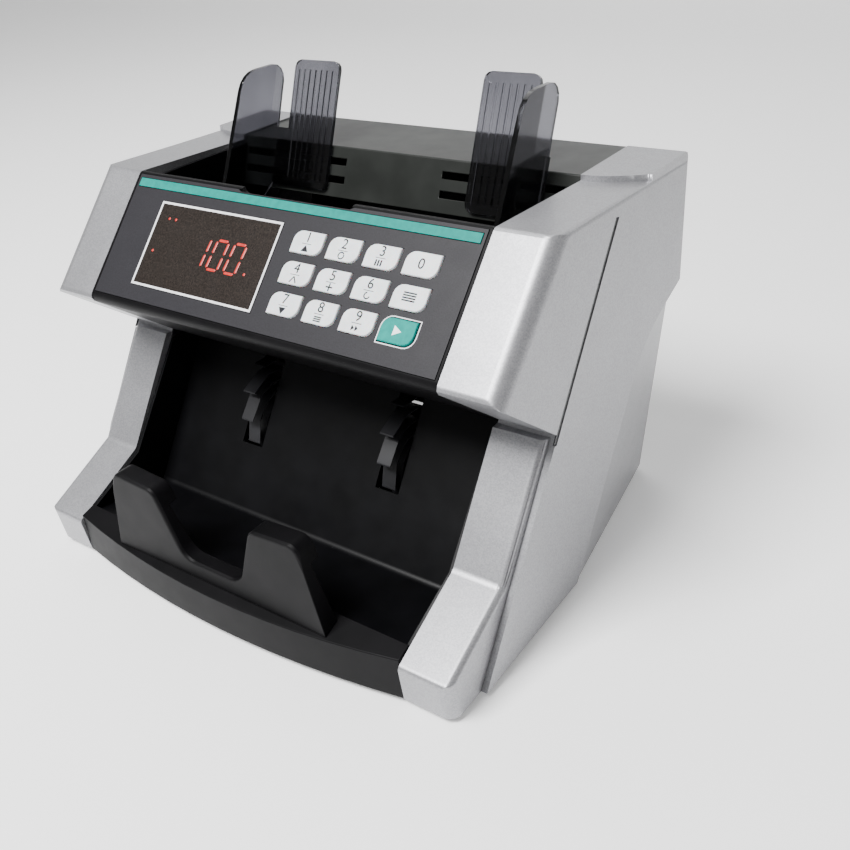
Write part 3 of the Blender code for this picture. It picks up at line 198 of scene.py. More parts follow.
def zincSteel():
    # Zinc-plated sheet and turned steel: bright, with grain drawn out about twelve times along X.
    made, tree, shader = newMaterial("zincSteel", Metallic=1.0, Roughness=0.3)
    stretch = addNode(tree, "ShaderNodeMapping", {"Scale": (0.08, 1.0, 1.0)}, {"Vector": objectPoint(tree)})
    drawn = addNode(tree, "ShaderNodeTexNoise", {"Scale": 1 / (0.5 * mm), "Detail": 2.0},
                    {"Vector": stretch.outputs["Vector"]}).outputs["Fac"]
    tree.links.new(blendColours(tree, drawn, "#A9ABAD", "#C3C5C6"), shader.inputs["Base Color"])
    tree.links.new(roughBetween(tree, drawn, 0.24, 0.42), shader.inputs["Roughness"])
    bumpFrom(tree, shader, drawn, 0.01, 0.3)
    return made


def mouldedRubber():
    # Nitrile rubber: matt and slightly dusty where it has run against paper.
    made, tree, shader = newMaterial("mouldedRubber", Roughness=0.8, Sheen_Weight=0.1)
    tree.links.new(blendColours(tree, noise(tree, 4.0, 4.0), "#1B1B1C", "#2B2A2A"), shader.inputs["Base Color"])
    bumpFrom(tree, shader, noise(tree, 0.6, 3.0), 0.05, 0.6)
    return made


def solderMask():
    # Green lacquered circuit board with copper tracks showing as paler lines.
    made, tree, shader = newMaterial("solderMask", Roughness=0.35)
    pattern = {"Scale": 1 / (9.0 * mm), "Mortar Size": 0.05, "Color1": srgb("#0F4A26"),
               "Color2": srgb("#13552C"), "Mortar": srgb("#3A8A55")}
    tracks = addNode(tree, "ShaderNodeTexBrick", pattern, {"Vector": objectPoint(tree)})
    tree.links.new(tracks.outputs["Color"], shader.inputs["Base Color"])
    bumpFrom(tree, shader, noise(tree, 2.0), 0.05, 0.3)
    return made


def varnishedCoil():
    # Laminated core and taped winding of the transformer: brown varnish over thin layers.
    made, tree, shader = newMaterial("varnishedCoil", Roughness=0.5)
    pattern = {"Scale": 1 / (6.0 * mm), "Distortion": 0.5, "bands_direction": "Z"}
    layers = addNode(tree, "ShaderNodeTexWave", pattern, {"Vector": objectPoint(tree)}).outputs["Fac"]
    tree.links.new(blendColours(tree, layers, "#3A2E20", "#5A4730"), shader.inputs["Base Color"])
    bumpFrom(tree, shader, layers, 0.1, 0.4)
    return made


def knurlPlasticWithGrooveShade():
    # Moulded plastic of the knurled strip in the side's groove: a mottled half-matt grey, darkened with painted
    # shade so that it also stands in for the shadow in the groove.
    made, tree, shader = newMaterial("knurlPlasticWithGrooveShade", Roughness=0.5)
    tree.links.new(blendColours(tree, noise(tree, 0.9), "#1A1A1C", "#3C3C3F"), shader.inputs["Base Color"])
    bumpFrom(tree, shader, noise(tree, 0.6), 0.05, 0.6)
    return made


finishes = {
    "silver": silverLacquer(),
    "black": sparkErodedAbs("sparkErodedBlack", "#050506", "#0A090B", 0.42, 0.52, shine=0.1),
    "pocket": sparkErodedAbs("polishedBlack", "#040405", "#08080A", 0.34, 0.44, 2.5, 0.02, 0.15),
    "wheel": sparkErodedAbs("acetalBlack", "#1A1A1C", "#242427", 0.4, 0.5),
    "lid": sparkErodedAbs("greyLid", "#1B1D1B", "#232523", 0.3, 0.38, 0.7, 0.012, 0.2),
    "film": printedFilm(),
    "teal": plainInk("tealInk", "#00766D", "#028177", 0.5),
    "tealKey": plainInk("tealKeyResin", "#007F76", "#058A80", 0.46),
    "white": plainInk("whiteInk", "#DADADC", "#ECECEE", 0.5),
    "glyph": plainInk("darkGreyInk", "#1B1C1F", "#26272A", 0.5),
    "glyphPale": plainInk("paleInk", "#E8F4F3", "#F6FBFA", 0.45),
    "key": keyResin(),
    "acrylic": smokedAcrylic(),
    "pane": tintedPane(),
    "lit": litSegment(),
    "steel": zincSteel(),
    "rubber": mouldedRubber(),
    "board": solderMask(),
    "coil": varnishedCoil(),
    # the knurl's grey is partly painted shade of the side's groove
    "knurlAndGrooveShade": knurlPlasticWithGrooveShade(),
    "red": plainInk("redRocker", "#6E120E", "#7C1813", 0.3),
}
print("materials made:", len(finishes))


# CAD shapes refined: merged, with the small edge radius that a mould leaves
def finishOf(node):
    # The first rule with a start that fits the node's name gives its finish, and black is left for the rest.
    rules = [
        (("side_cover", "front_leg"), "silver"), (("note_guide",), "acrylic"), (("key_start",), "tealKey"),
        (("key_",), "key"), (("control_overlay",), "film"), (("accent_strip",), "teal"),
        (("display_window",), "pane"), (("top_cover",), "lid"), (("panel_board", "main_board"), "board"),
        (("transformer",), "coil"), (("trim_strip",), "knurlAndGrooveShade"), (("power_switch",), "red"),
        (("stacker_pocket", "hopper_tray"), "pocket"), (("stacker_wheel",), "wheel"),
        (("foot_", "feed_wheel", "pickup", "retard_roller", "pinch", "drive_belt", "stacker_belt"), "rubber"),
        (("drum_shaft", "stacker_shaft", "motor_pulley", "stacker_pulley", "chassis", "drive_motor",
          "stacker_motor", "retard_holder"), "steel"),
    ]
    for starts, finish in rules:
        if node.startswith(starts):
            return finishes[finish]
    return finishes["black"]


bodyOf = {node: body for body, nodes in frame["record"]["behaviour"]["bodies"].items() for node in nodes}

# radius left on a node's edges in mm, by the start of its name
edgeRadiusMm = {"side_cover": 0.5, "front_leg": 0.6, "base_tray": 0.5, "stacker_guide": 0.3, "note_guide": 0.35,
                "control_bezel": 0.4, "top_cover": 0.3, "stacker_pocket": 0.4, "hopper_tray": 0.3,
                "control_overlay": 0.12, "accent_strip": 0.1, "key_": 0.15, "display_window": 0.15,
                "rear_door": 0.4, "rear_panel": 0.3, "foot_": 0.3, "feed_wheel": 0.3}

# Long edges that a moulding tool leaves with a generous radius: a line in the side view (y, z in mm) with its
# radius, or a groove's wall with the distance it stands back. Outer is the outer face's distance from the middle.
roundedEdges = {
    "side_cover": {"outer": 133.0, "lines": [
        {"start": (-60.6, 134.46), "end": (-14.1, 183.14), "radius": 7.5, "keepTop": True},
        {"start": (-13.0, 183.25), "end": (62.0, 180.6), "radius": 2.2},
        {"start": (-18.5, 93.4), "end": (36.9, 175.3), "shift": 0.7},
        {"start": (34.9, 175.3), "end": (-17.4, 97.9), "shift": 0.5}]},
    "front_leg": {"outer": 130.0, "lines": [
        {"start": (-59.2, 43.0), "end": (-20.0, 98.6), "radius": 3.5},
        {"start": (-102.0, 23.0), "end": (-59.5, 43.1), "radius": 3.5, "keepFront": True},
        {"start": (-101.0, 3.0), "end": (-102.75, 21.5), "radius": 6.0}]},
}


def lineFrame(line):
    # Start, unit direction, unit normal into the body and length of a line, in metres in the side view. The
    # direction is the end less the start over the length, and the normal is the direction turned by 90 degrees.
    start, end = np.array(line["start"]) * mm, np.array(line["end"]) * mm
    length = np.linalg.norm(end - start)
    along = (end - start) / length
    return start, along, np.array([along[1], -along[0]]), length


# how near to its plane, to the outer face and to its ends a groove's wall is looked for, in mm
wallReach = {"plane": 0.12, "outer": 4, "ends": 0.3}


def standBack(shape, sign, outer, line):
    # A groove's wall moves back into the body, so that the groove reads at its full width: every vertex close to
    # the wall's plane moves by the same distance along its normal.
    start, along, inward, length = lineFrame(line)
    places = np.array([v.co[:] for v in shape.verts])
    side = places[:, 1:] - start
    s, depth = side @ along, side @ inward
    fromOuter = outer * mm - sign * places[:, 0]
    onWall = (np.abs(depth) < wallReach["plane"] * mm) & (fromOuter < wallReach["outer"] * mm)
    onWall &= (s > -wallReach["ends"] * mm) & (s < length + wallReach["ends"] * mm)
    places[onWall, 1:] += inward * line["shift"] * mm
    for vertex, place in zip([v for v, hit in zip(shape.verts, onWall) if hit], places[onWall].tolist()):
        vertex.co = place


# first cut as a share of the radius, number of cuts each way, and in mm how far outside the face a vertex may lie
# and how deep it has to lie to count as part of the face that the edge runs into
roundRules = {"firstCut": 0.1, "cuts": 7, "outside": 0.3, "inside": 0.25}


def roundAlong(shape, sign, outer, line):
    # Planes are cut through the mesh beside the edge, then each vertex outside the quarter circle whose centre
    # lies one radius inside both faces moves straight towards that centre until it is on the circle. A vertex of
    # the face that the edge runs into slides along the edge too, so that it stays in that face.
    start, along, inward, length = lineFrame(line)
    radius = line["radius"] * mm
    cuts = []
    for share in np.linspace(roundRules["firstCut"], 1.0, roundRules["cuts"]):
        cuts.append(((sign * (outer * mm - radius * share), 0, 0), (1, 0, 0)))
        cuts.append(((0, *(start + inward * radius * share)), (0, *inward)))
    for place, normal in cuts:
        everything = shape.verts[:] + shape.edges[:] + shape.faces[:]
        bmesh.ops.bisect_plane(shape, geom=everything, dist=1e-7, plane_co=place, plane_no=normal)
    places = np.array([v.co[:] for v in shape.verts])
    side = places[:, 1:] - start
    s, depth = side @ along, side @ inward
    fromOuter = outer * mm - sign * places[:, 0]
    away = np.stack([fromOuter, depth], 1) - radius
    reach = np.linalg.norm(away, axis=1)
    near = (s > -radius) & (s < length + radius) & (fromOuter < radius) & (reach > radius)
    near &= (depth < radius) & (depth > -roundRules["outside"] * mm)
    newOuter, newDepth = (radius + away * (radius / np.maximum(reach, 1e-9))[:, None]).T
    drop = depth - newDepth
    inside = depth > roundRules["inside"] * mm
    topFace = (s > length) & inside & ("keepTop" in line)
    frontFace = (s < 0) & inside & ("keepFront" in line)
    s = s + np.where(topFace, inward[1] * drop / along[1], 0)
    s = s + np.where(frontFace, inward[0] * drop / along[0], 0)
    moved = places.copy()
    moved[:, 0] = sign * (outer * mm - newOuter)
    moved[:, 1:] = start + along * s[:, None] + inward * newDepth[:, None]
    for vertex, place in zip([v for v, hit in zip(shape.verts, near) if hit], moved[near].tolist()):
        vertex.co = place


# vertices closer than this many mm become one; degrees below which faces are one flat face and above which an
# edge is sharp; steps in an edge's radius
shellRules = {"merge": 0.004, "flat": 0.4, "sharp": 33, "steps": 2}


def refinedShell(node):
    # The node's triangles merged to flat faces, then its edges rounded by a few tenths of a millimetre.
    source = frame["nodes"][node]
    mesh = source.data.copy()
    mesh.transform(source.matrix_world)
    shape = bmesh.new()
    shape.from_mesh(mesh)
    merge, sharp = shellRules["merge"] * mm, math.radians(shellRules["sharp"])
    bmesh.ops.remove_doubles(shape, verts=shape.verts, dist=merge)
    flat = math.radians(shellRules["flat"])
    bmesh.ops.dissolve_limit(shape, angle_limit=flat, verts=shape.verts, edges=shape.edges)
    sign = 1 if node.endswith("right") else -1
    for start, edges in roundedEdges.items():
        if node.startswith(start):
            for line in edges["lines"]:
                work = standBack if "shift" in line else roundAlong
                work(shape, sign, edges["outer"], line)
    bmesh.ops.remove_doubles(shape, verts=shape.verts, dist=merge)
    shape.to_mesh(mesh)
    shape.free()
    piece = bpy.data.objects.new(node + "_shell", mesh)
    bpy.context.scene.collection.objects.link(piece)
    mesh.materials.clear()
    mesh.materials.append(finishOf(node))
    mesh.shade_smooth()
    mesh.set_sharp_from_angle(angle=sharp)
    radius = next((size for start, size in edgeRadiusMm.items() if node.startswith(start)), 0)
    if radius:
        edge = piece.modifiers.new("mouldRadius", "BEVEL")
        edge.width = radius * mm
        edge.segments = shellRules["steps"]
        edge.limit_method = "ANGLE"
        edge.angle_limit = sharp
        edge.use_clamp_overlap = True
        edge.harden_normals = True
    normals = piece.modifiers.new("flatFaces", "WEIGHTED_NORMAL")  # large faces stay flat to the eye
    normals.keep_sharp = True
    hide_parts(node)
    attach(piece, bodyOf[node])


for node in frame["nodes"]:
    refinedShell(node)
print("shells refined:", len(frame["nodes"]))


# surfaces worked out with numpy
def gridMesh(name, points, closeU=False, closeV=False):
    # A grid of points, rows along U and columns along V, joined into quads: each quad takes a point and its
    # neighbours one row and one column on. Closing repeats the first row or column after the last.
    rows, columns = points.shape[:2]
    index = np.arange(rows * columns).reshape(rows, columns)
    if closeU:
        index = np.vstack([index, index[:1]])
    if closeV:
        index = np.hstack([index, index[:, :1]])
    quads = np.stack([index[:-1, :-1], index[:-1, 1:], index[1:, 1:], index[1:, :-1]], -1).reshape(-1, 4)
    mesh = bpy.data.meshes.new(name)
    mesh.from_pydata(points.reshape(-1, 3).tolist(), [], quads.tolist())
    return mesh


def linkPiece(name, mesh, material, body):
    # A mesh set in the scene with its material and its body.
    piece = bpy.data.objects.new(name, mesh)
    bpy.context.scene.collection.objects.link(piece)
    mesh.materials.append(material)
    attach(piece, body)


# vertices closer than this many mm become one, and an edge over this many degrees is sharp
pieceRules = {"merge": 0.001, "sharp": 40}


def placePiece(name, mesh, material, body, smooth=True):
    # A mesh with its seams merged and its faces turned outwards, shaded smooth or flat.
    shape = bmesh.new()
    shape.from_mesh(mesh)
    bmesh.ops.remove_doubles(shape, verts=shape.verts, dist=pieceRules["merge"] * mm)
    bmesh.ops.recalc_face_normals(shape, faces=shape.faces)
    shape.to_mesh(mesh)
    shape.free()
    if smooth:
        mesh.shade_smooth()
        mesh.set_sharp_from_angle(angle=math.radians(pieceRules["sharp"]))
    linkPiece(name, mesh, material, body)


def onPanel(across, along, height):
    # Points given on the panel, along counted down the slope, as points in the machine's frame: the panel's
    # matrix times each point with a one added to it.
    flat = np.stack(np.broadcast_arrays(across, -np.asarray(along), height, np.ones_like(across)), -1)
    return (flat @ np.array(panelMatrix).T)[..., :3]


windowSize = {"left": -0.0793, "right": -0.0001, "top": 0.0133, "bottom": 0.0566, "line": 0.0011,
              "lift": 0.00045, "flatten": 0.35, "under": 0.0001, "steps": 7}


def windowOutline():
    # A low rounded bead carried round the pane's edge: the section is a half circle flattened to about a third
    # of its height, and it is set out along the four sides with mitred corners.
    left, right = windowSize["left"], windowSize["right"]
    top, bottom = windowSize["top"], windowSize["bottom"]
    half = windowSize["line"] / 2
    corners = np.array([[left, top], [right, top], [right, bottom], [left, bottom]])
    inwards = np.array([[1, 1], [-1, 1], [-1, -1], [1, -1]])
    turn = np.linspace(0, np.pi, windowSize["steps"])
    offset = half * (1 - np.cos(turn))
    height = windowSize["lift"] + windowSize["flatten"] * half * np.sin(turn)
    bead = corners[:, None, :] + inwards[:, None, :] * offset[None, :, None]
    low = np.full(bead.shape[:2], windowSize["lift"] - windowSize["under"])
    points = onPanel(bead[..., 0], bead[..., 1], np.broadcast_to(height, bead.shape[:2]))
    under = onPanel(bead[..., 0], bead[..., 1], low)
    loop = np.concatenate([points, under[:, ::-1]], axis=1)
    return gridMesh("windowOutline", loop, closeU=True, closeV=True)


placePiece("window_outline", windowOutline(), finishes["white"], "housing")


digitSize = {"width": 0.0072, "height": 0.0145, "bar": 0.0013, "slant": 0.09, "lift": 0.0006,
             "firstX": -0.0425, "pitch": 0.0112, "middle": 0.0345, "text": "100", "dome": 0.00012,
             "barShare": 0.84, "tip": 0.02, "shoulder": 0.82}

# each bar's place as shares of half a width and half a height, then whether it stands upright
segmentLayout = {"a": (0, 1, 0), "b": (1, 0.5, 1), "c": (1, -0.5, 1), "d": (0, -1, 0), "e": (-1, -0.5, 1),
                 "f": (-1, 0.5, 1), "g": (0, 0, 0)}
litBars = {"0": "abcdef", "1": "bc"}


def segmentBar(name, centreX, centreS, length, upright):
    # One bar of a digit: a hexagon whose half-width falls almost to nothing between the shoulder and the tip,
    # domed across by the square of the distance from its middle line. It leans by the slant times its height.
    shoulder, tip = digitSize["shoulder"], digitSize["tip"]
    u = np.array([-1, -shoulder, 0, shoulder, 1.0])
    v = np.linspace(-1, 1, 5)
    halfWidth = digitSize["bar"] / 2 * np.array([tip, 1, 1, 1, tip])
    along = u[:, None] * length / 2 + 0 * v
    across = halfWidth[:, None] * v[None, :]
    x, s = (across, along) if upright else (along, across)
    x = x + centreX - (s + centreS - digitSize["middle"]) * digitSize["slant"]
    dome = digitSize["dome"] * (1 - v[None, :] ** 2) * np.array([0, 1, 1, 1, 0])[:, None]
    return gridMesh(name, onPanel(x, s + centreS, digitSize["lift"] + dome))


def placeDigits():
    # Each bar stands half a width or half a height from its digit's middle, as the layout says.
    for place, character in enumerate(digitSize["text"]):
        middleX = digitSize["firstX"] + place * digitSize["pitch"]
        for bar in litBars[character]:
            sideways, upwards, upright = segmentLayout[bar]
            x = middleX + sideways * digitSize["width"] / 2
            s = digitSize["middle"] - upwards * digitSize["height"] / 2
            length = (digitSize["height"] / 2 if upright else digitSize["width"]) * digitSize["barShare"]
            mesh = segmentBar(f"digit_{place}_{bar}", x, s, length, upright)
            placePiece(f"digit_{place}_{bar}", mesh, finishes["lit"], "housing", smooth=False)


placeDigits()


indicatorSize = {"radius": 0.0007, "lift": 0.0005, "dome": 0.12, "rings": 4, "sides": 16,
                 "places": [(-0.0705, 0.0215), (-0.066, 0.0215), (-0.0735, 0.0385), (-0.0115, 0.0405)]}


def indicator(name, x, s):
    # A small domed disc: radius grows along U, angle along V, height falls off as the square.
    radius = indicatorSize["radius"]
    r = np.linspace(0.02, 1, indicatorSize["rings"])[:, None]
    t = np.linspace(0, 2 * np.pi, indicatorSize["sides"], endpoint=False)[None, :]
    high = indicatorSize["lift"] + indicatorSize["dome"] * radius * (1 - r ** 2) + 0 * t
    points = onPanel(x + radius * r * np.cos(t), s + radius * r * np.sin(t), high)
    placePiece(name, gridMesh(name, points, closeV=True), finishes["lit"], "housing")


for number, (dotX, dotS) in enumerate(indicatorSize["places"]):
    indicator(f"indicator_{number}", dotX, dotS)


# key legends: digits above, a fine rule, then a small pictogram
keySize = {"firstX": 0.0176, "pitchX": 0.02024, "firstS": 0.02057, "pitchS": 0.0145, "columns": 4,
           "top": 0.0014, "ink": 0.00006, "digitHigh": 0.0047, "fontShare": 1.38, "digitAt": -0.0022,
           "ruleAt": 0.0007, "pictureAt": 0.0029, "pictureScale": 1.5}
inkLift = keySize["top"] + keySize["ink"]
keyNames = ["key_1", "key_2", "key_3", "key_0", "key_4", "key_5", "key_6", "key_batch",
            "key_7", "key_8", "key_9", "key_start"]


def keyCentre(order):
    # The first key's centre plus one pitch for each column and each row.
    row, column = divmod(order, keySize["columns"])
    return keySize["firstX"] + column * keySize["pitchX"], keySize["firstS"] + row * keySize["pitchS"]


def flatInk(name, outlines, x, s, material, body):
    # Outlines in millimetres round (x, s), up the slope positive, filled as flat ink on a key's top.
    shape = bmesh.new()
    for outline in outlines:
        outline = np.asarray(outline, float) * mm
        points = onPanel(x + outline[:, 0], s - outline[:, 1], np.full(len(outline), inkLift))
        shape.faces.new([shape.verts.new(p) for p in points.tolist()])
    mesh = bpy.data.meshes.new(name)
    shape.to_mesh(mesh)
    shape.free()
    linkPiece(name, mesh, material, body)


def digitInk(name, character, x, s, material, body):
    # A digit in the plain built-in font, filled as flat ink on a key's top.
    curve = bpy.data.curves.new(name, "FONT")
    curve.body = character
    curve.align_x = "CENTER"
    curve.align_y = "CENTER"
    curve.size = keySize["digitHigh"] * keySize["fontShare"]
    holder = bpy.data.objects.new(name + "_curve", curve)
    bpy.context.scene.collection.objects.link(holder)
    bpy.context.view_layer.update()
    mesh = bpy.data.meshes.new_from_object(holder.evaluated_get(bpy.context.evaluated_depsgraph_get()))
    bpy.data.objects.remove(holder, do_unlink=True)
    mesh.transform(panelMatrix @ Matrix.Translation((x, -s, inkLift)))
    mesh.materials.clear()
    linkPiece(name, mesh, material, body)


def bar(x0, y0, x1, y1):
    # The four corners of an upright rectangle.
    return [(x0, y0), (x1, y0), (x1, y1), (x0, y1)]


def slantBar(x0, y0, x1, y1, width):
    # A line with a width: its two ends moved half the width to each side, at right angles to it.
    run = np.array([x1 - x0, y1 - y0], float)
    side = np.array([-run[1], run[0]]) / np.linalg.norm(run) * width / 2
    start, end = np.array([x0, y0]), np.array([x1, y1])
    return [start - side, end - side, end + side, start + side]


def brokenRing(radius, width, first, last, count=12):
    # An arc of ink between two radii, drawn as one closed outline; angles in degrees.
    turn = np.radians(np.linspace(first, last, count))
    outer = np.stack([np.cos(turn), np.sin(turn)], 1) * radius
    inner = np.stack([np.cos(turn), np.sin(turn)], 1)[::-1] * (radius - width)
    return np.vstack([outer, inner])


ruleShape = bar(-2.6, -0.12, 2.6, 0.12)
pictures = {
    "key_1": [[(-1.3, -0.9), (1.3, -0.9), (0, 1.1)]],
    "key_7": [[(-1.3, 0.9), (0, -1.1), (1.3, 0.9)]],
    "key_2": [brokenRing(1.15, 0.35, 30, 210), brokenRing(1.15, 0.35, 220, 380)],
    "key_3": [bar(-1.4, -0.9, -0.9, 0.9), bar(-0.5, -0.9, 0, 0.9), bar(0.4, -0.9, 0.9, 0.9)],
    "key_4": [slantBar(-1.2, -1, 0, 0.9, 0.35), slantBar(0, 0.9, 1.2, -1, 0.35)],
    "key_5": [bar(-1.2, -0.2, 1.2, 0.2), bar(-0.2, 0.2, 0.2, 1.2), bar(-0.2, -1.2, 0.2, -0.2)],
    "key_6": [brokenRing(1.1, 0.35, 100, 350)],
    "key_8": [bar(-1.3, 0.4, 1.3, 0.75), bar(-1.3, -0.2, 1.3, 0.15), bar(-1.3, -0.8, 1.3, -0.45)],
    "key_9": [[(-1.2, -0.8), (-0.2, 0), (-1.2, 0.8)], [(0.1, -0.8), (1.1, 0), (0.1, 0.8)]],
}
boldPictures = {
    "key_batch": [bar(-3.2, -1.7, 3.2, -1.1), bar(-3.2, -0.6, 3.2, 0.0), bar(-3.2, 0.5, 3.2, 1.1),
                  bar(-3.2, 1.6, 3.2, 2.2)],
    "key_start": [[(-1.7, -2.2), (2.3, 0), (-1.7, 2.2)]],
}


def placeLegends():
    # Batch and start carry one bold picture. The others carry a digit, and all but the nought have a rule and a
    # picture under it.
    for order, name in enumerate(keyNames):
        x, s = keyCentre(order)
        if name in boldPictures:
            ink = finishes["glyphPale" if name == "key_start" else "glyph"]
            flatInk(name + "_picture", boldPictures[name], x, s, ink, name)
            continue
        ink = finishes["glyph"]
        alone = name == "key_0"  # the nought stands in the middle of its key
        digitInk(name + "_digit", name[-1], x, s + (0 if alone else keySize["digitAt"]), ink, name)
        if alone:
            continue
        flatInk(name + "_rule", [ruleShape], x, s + keySize["ruleAt"], ink, name)
        marks = [np.asarray(mark, float) * keySize["pictureScale"] for mark in pictures[name]]
        flatInk(name + "_picture", marks, x, s + keySize["pictureAt"], ink, name)


placeLegends()


# half sizes of the printed outline, its corner radius and its line in mm, and its lift off the panel in metres
surroundSize = {"halfX": 9.05, "halfY": 5.85, "radius": 5.0, "line": 0.45, "steps": 6, "lift": 0.00026}


def roundedOutline(grow):
    # A rectangle with two opposite corners turned to quarter circles; growing it adds the same distance to the
    # half sizes and to the radius.
    a, b, r = (surroundSize[key] + grow for key in ("halfX", "halfY", "radius"))
    turn = np.radians(np.linspace(0, 90, surroundSize["steps"]))
    low = np.stack([a - r + r * np.sin(turn), -(b - r) - r * np.cos(turn)], 1)
    return np.vstack([[[-a, -b]], low, [[a, b]], -low])


def keySurround(name, x, s):
    # White printed line round the start key: two outlines, one grown by the line's width, joined as a ribbon.
    pair = np.stack([roundedOutline(0.0), roundedOutline(surroundSize["line"])], 1) * mm
    points = onPanel(x + pair[..., 0], s - pair[..., 1], np.full(pair.shape[:2], surroundSize["lift"]))
    mesh = gridMesh(name, points, closeU=True)
    placePiece(name, mesh, finishes["white"], "housing", smooth=False)


keySurround("start_outline", *keyCentre(keyNames.index("key_start")))
print("panel drawn")


# knurled strips in the grooves
stripSize = {"rows": 150, "columns": 7, "width": 0.0024, "insetY": 0.0002, "insetZ": 0.0003,
             "ridge": 0.00035, "pitch": 0.0021, "lift": 0.00005}


def knurledStrip(side):
    # A ribbon along the groove whose height follows a saw of diagonal ridges: the phase is the
    # distance along plus the distance across, so the ridges lie at 45 degrees.
    low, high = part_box(f"trim_strip_{side}")
    sign = 1 if side == "right" else -1
    outer = max(abs(low[0]), abs(high[0]))
    u = np.linspace(0, 1, stripSize["rows"])[:, None]
    v = np.linspace(0, 1, stripSize["columns"])[None, :]
    width, insetY, insetZ = stripSize["width"], stripSize["insetY"], stripSize["insetZ"]
    y = low[1] + insetY + (high[1] - low[1] - width - 2 * insetY) * u + width * v
    z = low[2] + insetZ + (high[2] - low[2] - 2 * insetZ) * u + 0 * v
    length = math.hypot(high[1] - low[1], high[2] - low[2])
    phase = (u * length + v * width) / stripSize["pitch"]
    rise = stripSize["ridge"] * np.abs(2 * (phase - np.floor(phase)) - 1)
    edge = np.where((v <= 0) | (v >= 1), 0, 1)
    x = sign * (outer + stripSize["lift"] + rise * edge - stripSize["ridge"])
    return gridMesh(f"knurl_{side}", np.stack(np.broadcast_arrays(x, y, z), -1))


# the strips' dark grey is their own colour darkened with painted shade of the groove
for side in ("left", "right"):
    placePiece(f"knurl_{side}", knurledStrip(side), finishes["knurlAndGrooveShade"], "housing", smooth=False)


# ribbed tyres on the feed wheels
tyreSize = {"ribs": 36, "depth": 0.0007, "inset": 0.0006, "lift": 0.00012, "crown": 0.05}


def ribbedTyre(name, node):
    # A tyre round an axis along X: a profile across the width swept round, its radius dropping in a narrow
    # cosine valley between ribs and towards its two rims by the sixth power of the distance from its middle.
    low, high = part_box(node)
    centreY, centreZ = (low[1] + high[1]) / 2, (low[2] + high[2]) / 2
    radius = (high[2] - low[2]) / 2
    across = np.linspace(-1, 1, 9)
    t = np.linspace(0, 2 * np.pi, tyreSize["ribs"] * 6, endpoint=False)
    valley = np.clip(np.cos(tyreSize["ribs"] * t) * 2 - 1, 0, 1)
    crown = 1 - tyreSize["crown"] * np.abs(across) ** 6
    r = radius * crown[:, None] + tyreSize["lift"] - tyreSize["depth"] * valley[None, :]
    x = (low[0] + high[0]) / 2 + across * ((high[0] - low[0]) / 2 - tyreSize["inset"])
    points = np.stack([x[:, None] + 0 * t, centreY + r * np.cos(t), centreZ + r * np.sin(t)], -1)
    return gridMesh(name, points, closeV=True)


for side in ("left", "right"):
    node = f"feed_wheel_{side}"
    tyre = ribbedTyre(f"tyre_{side}", node)
    placePiece(f"tyre_{side}", tyre, finishes["rubber"], bodyOf[node])


# screws on the back: their size, the cross as shares of the radius and the height, and their places (x, z)
screwSize = {"radius": 0.0032, "high": 0.0011, "rim": 0.2, "crossHalf": 0.13, "crossReach": 0.62,
             "crossDeep": 0.45, "sink": 0.0001,
             "places": [(-0.097, 0.012), (0.097, 0.012), (-0.097, 0.064), (0.097, 0.064), (0.0, 0.012)]}


def screwHead(name, place):
    # A pan head facing back, turned from its profile, a quarter of an ellipse on a low rim, with its cross drawn
    # by lowering the height where either local coordinate is near zero.
    r = np.linspace(0.03, 1, 10)[:, None]
    t = np.linspace(0, 2 * np.pi, 40, endpoint=False)[None, :]
    x, y = r * np.cos(t), r * np.sin(t)
    high = np.sqrt(np.clip(1 - r ** 2, 0, 1)) * (1 - screwSize["rim"]) + screwSize["rim"]
    half = screwSize["crossHalf"]
    cross = ((np.abs(x) < half) | (np.abs(y) < half)) & (r < screwSize["crossReach"])
    z = (high - screwSize["crossDeep"] * cross) * screwSize["high"]
    local = np.stack(np.broadcast_arrays(x * screwSize["radius"], y * screwSize["radius"], z), -1)
    turn = Vector((0, 0, 1)).rotation_difference(Vector((0, 1, 0))).to_matrix()
    points = local @ np.array(turn).T + np.array(place)
    placePiece(name, gridMesh(name, points, closeV=True), finishes["steel"], "housing")


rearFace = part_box("rear_panel")[1][1]
for number, (screwX, screwZ) in enumerate(screwSize["places"]):
    screwHead(f"rear_screw_{number}", (screwX, rearFace - screwSize["sink"], screwZ))
print("small parts placed")


# floor, light and camera
stageSize = {"floor": 4.0, "wall": 2.2, "radius": 0.6, "bendAt": 1.4, "wallAt": 2.0, "halfWidth": 3.5}


def studioSweep():
    # A pale sheet: flat floor, then a quarter circle up to an upright backdrop behind.
    turn = np.linspace(0, np.pi / 2, 16)
    bend = stageSize["bendAt"] + stageSize["radius"] * np.sin(turn)
    y = np.concatenate([[-stageSize["floor"]], bend, [stageSize["wallAt"]]])
    z = np.concatenate([[0.0], stageSize["radius"] * (1 - np.cos(turn)), [stageSize["wall"]]])
    x = np.array([-1, 1]) * stageSize["halfWidth"]
    points = np.stack(np.broadcast_arrays(x[None, :], y[:, None], z[:, None]), -1)
    mesh = gridMesh("studioSweep", points)
    floor = bpy.data.objects.new("studio_sweep", mesh)
    bpy.context.scene.collection.objects.link(floor)
    paper, tree, shader = newMaterial("stagePaper", Roughness=0.9, Base_Color=srgb("#FAFAFA"),
                                      Emission_Color=srgb("#FFFFFF"), Emission_Strength=0.22)
    mesh.materials.append(paper)
    mesh.shade_smooth()


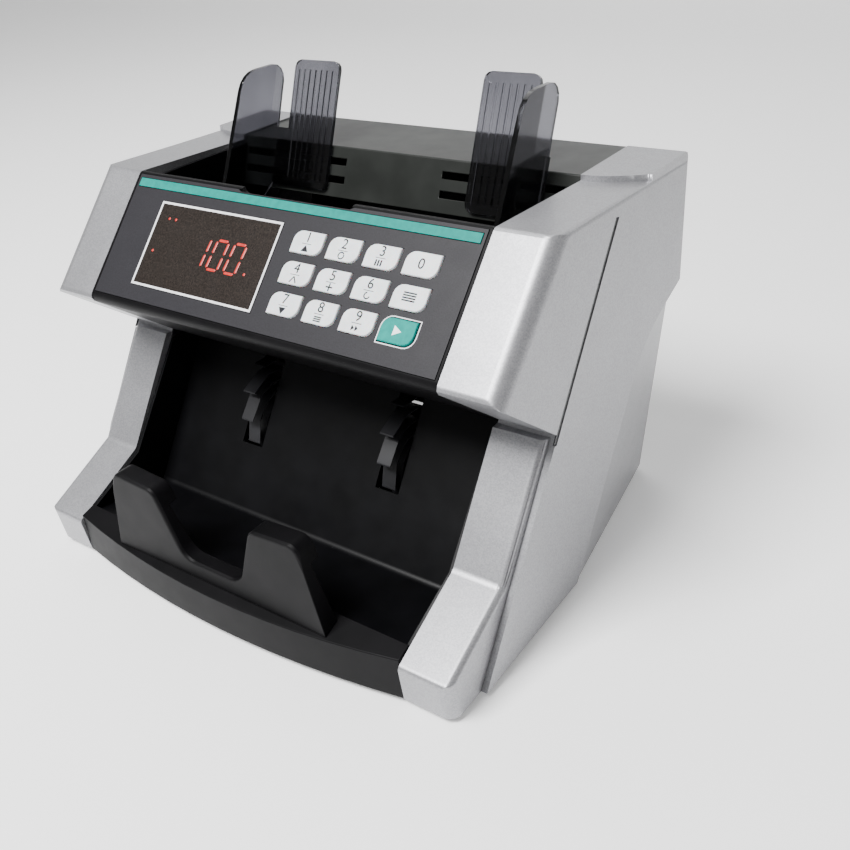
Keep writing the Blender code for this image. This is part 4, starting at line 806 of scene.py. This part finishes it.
studioSweep()

aimPoint = (0, 0, 0.08)
worldStrength = 0.3
lights = {
    "key": {"place": (-0.25, -0.8, 1.4), "size": 0.7, "power": 64},
    "side": {"place": (1.4, 0.2, 0.3), "size": 0.8, "power": 0.2},
    "top": {"place": (-0.6, 0.7, 1.3), "size": 0.8, "power": 6},
}


def softBox(name, place, size, power):
    # A square lamp that looks from its place at the aim point.
    lamp = bpy.data.lights.new(name, "AREA")
    lamp.shape = "SQUARE"
    lamp.size = size
    lamp.energy = power
    box = bpy.data.objects.new(name, lamp)
    box.location = place
    box.rotation_euler = (Vector(aimPoint) - Vector(place)).to_track_quat("-Z", "Y").to_euler()
    bpy.context.scene.collection.objects.link(box)


for lightName, values in lights.items():
    softBox(lightName, **values)

world = bpy.data.worlds.new("studio")
world.use_nodes = True
background = world.node_tree.nodes["Background"]
background.inputs["Color"].default_value = (1, 1, 1, 1)
background.inputs["Strength"].default_value = worldStrength
bpy.context.scene.world = world

cameraSet = {"place": (0.2968, -0.3209, 0.3128), "azimuth": 37.27, "elevation": 31.36, "roll": 4.91,
             "lens": 40.72, "shiftX": -0.0045, "shiftY": 0.0078, "sensor": 36, "nearest": 0.01}


def placeCamera():
    # From looking straight down, the camera turns back by its roll, tips up by 90 degrees less its elevation and
    # turns by its azimuth.
    data = bpy.data.cameras.new("camera")
    data.lens = cameraSet["lens"]
    data.sensor_width = cameraSet["sensor"]
    data.shift_x = cameraSet["shiftX"]
    data.shift_y = cameraSet["shiftY"]
    data.clip_start = cameraSet["nearest"]
    camera = bpy.data.objects.new("camera", data)
    turn = (Matrix.Rotation(math.radians(cameraSet["azimuth"]), 4, "Z")
            @ Matrix.Rotation(math.radians(90 - cameraSet["elevation"]), 4, "X")
            @ Matrix.Rotation(-math.radians(cameraSet["roll"]), 4, "Z"))
    camera.matrix_world = Matrix.Translation(cameraSet["place"]) @ turn
    bpy.context.scene.collection.objects.link(camera)
    bpy.context.scene.camera = camera


placeCamera()
print("stage set")
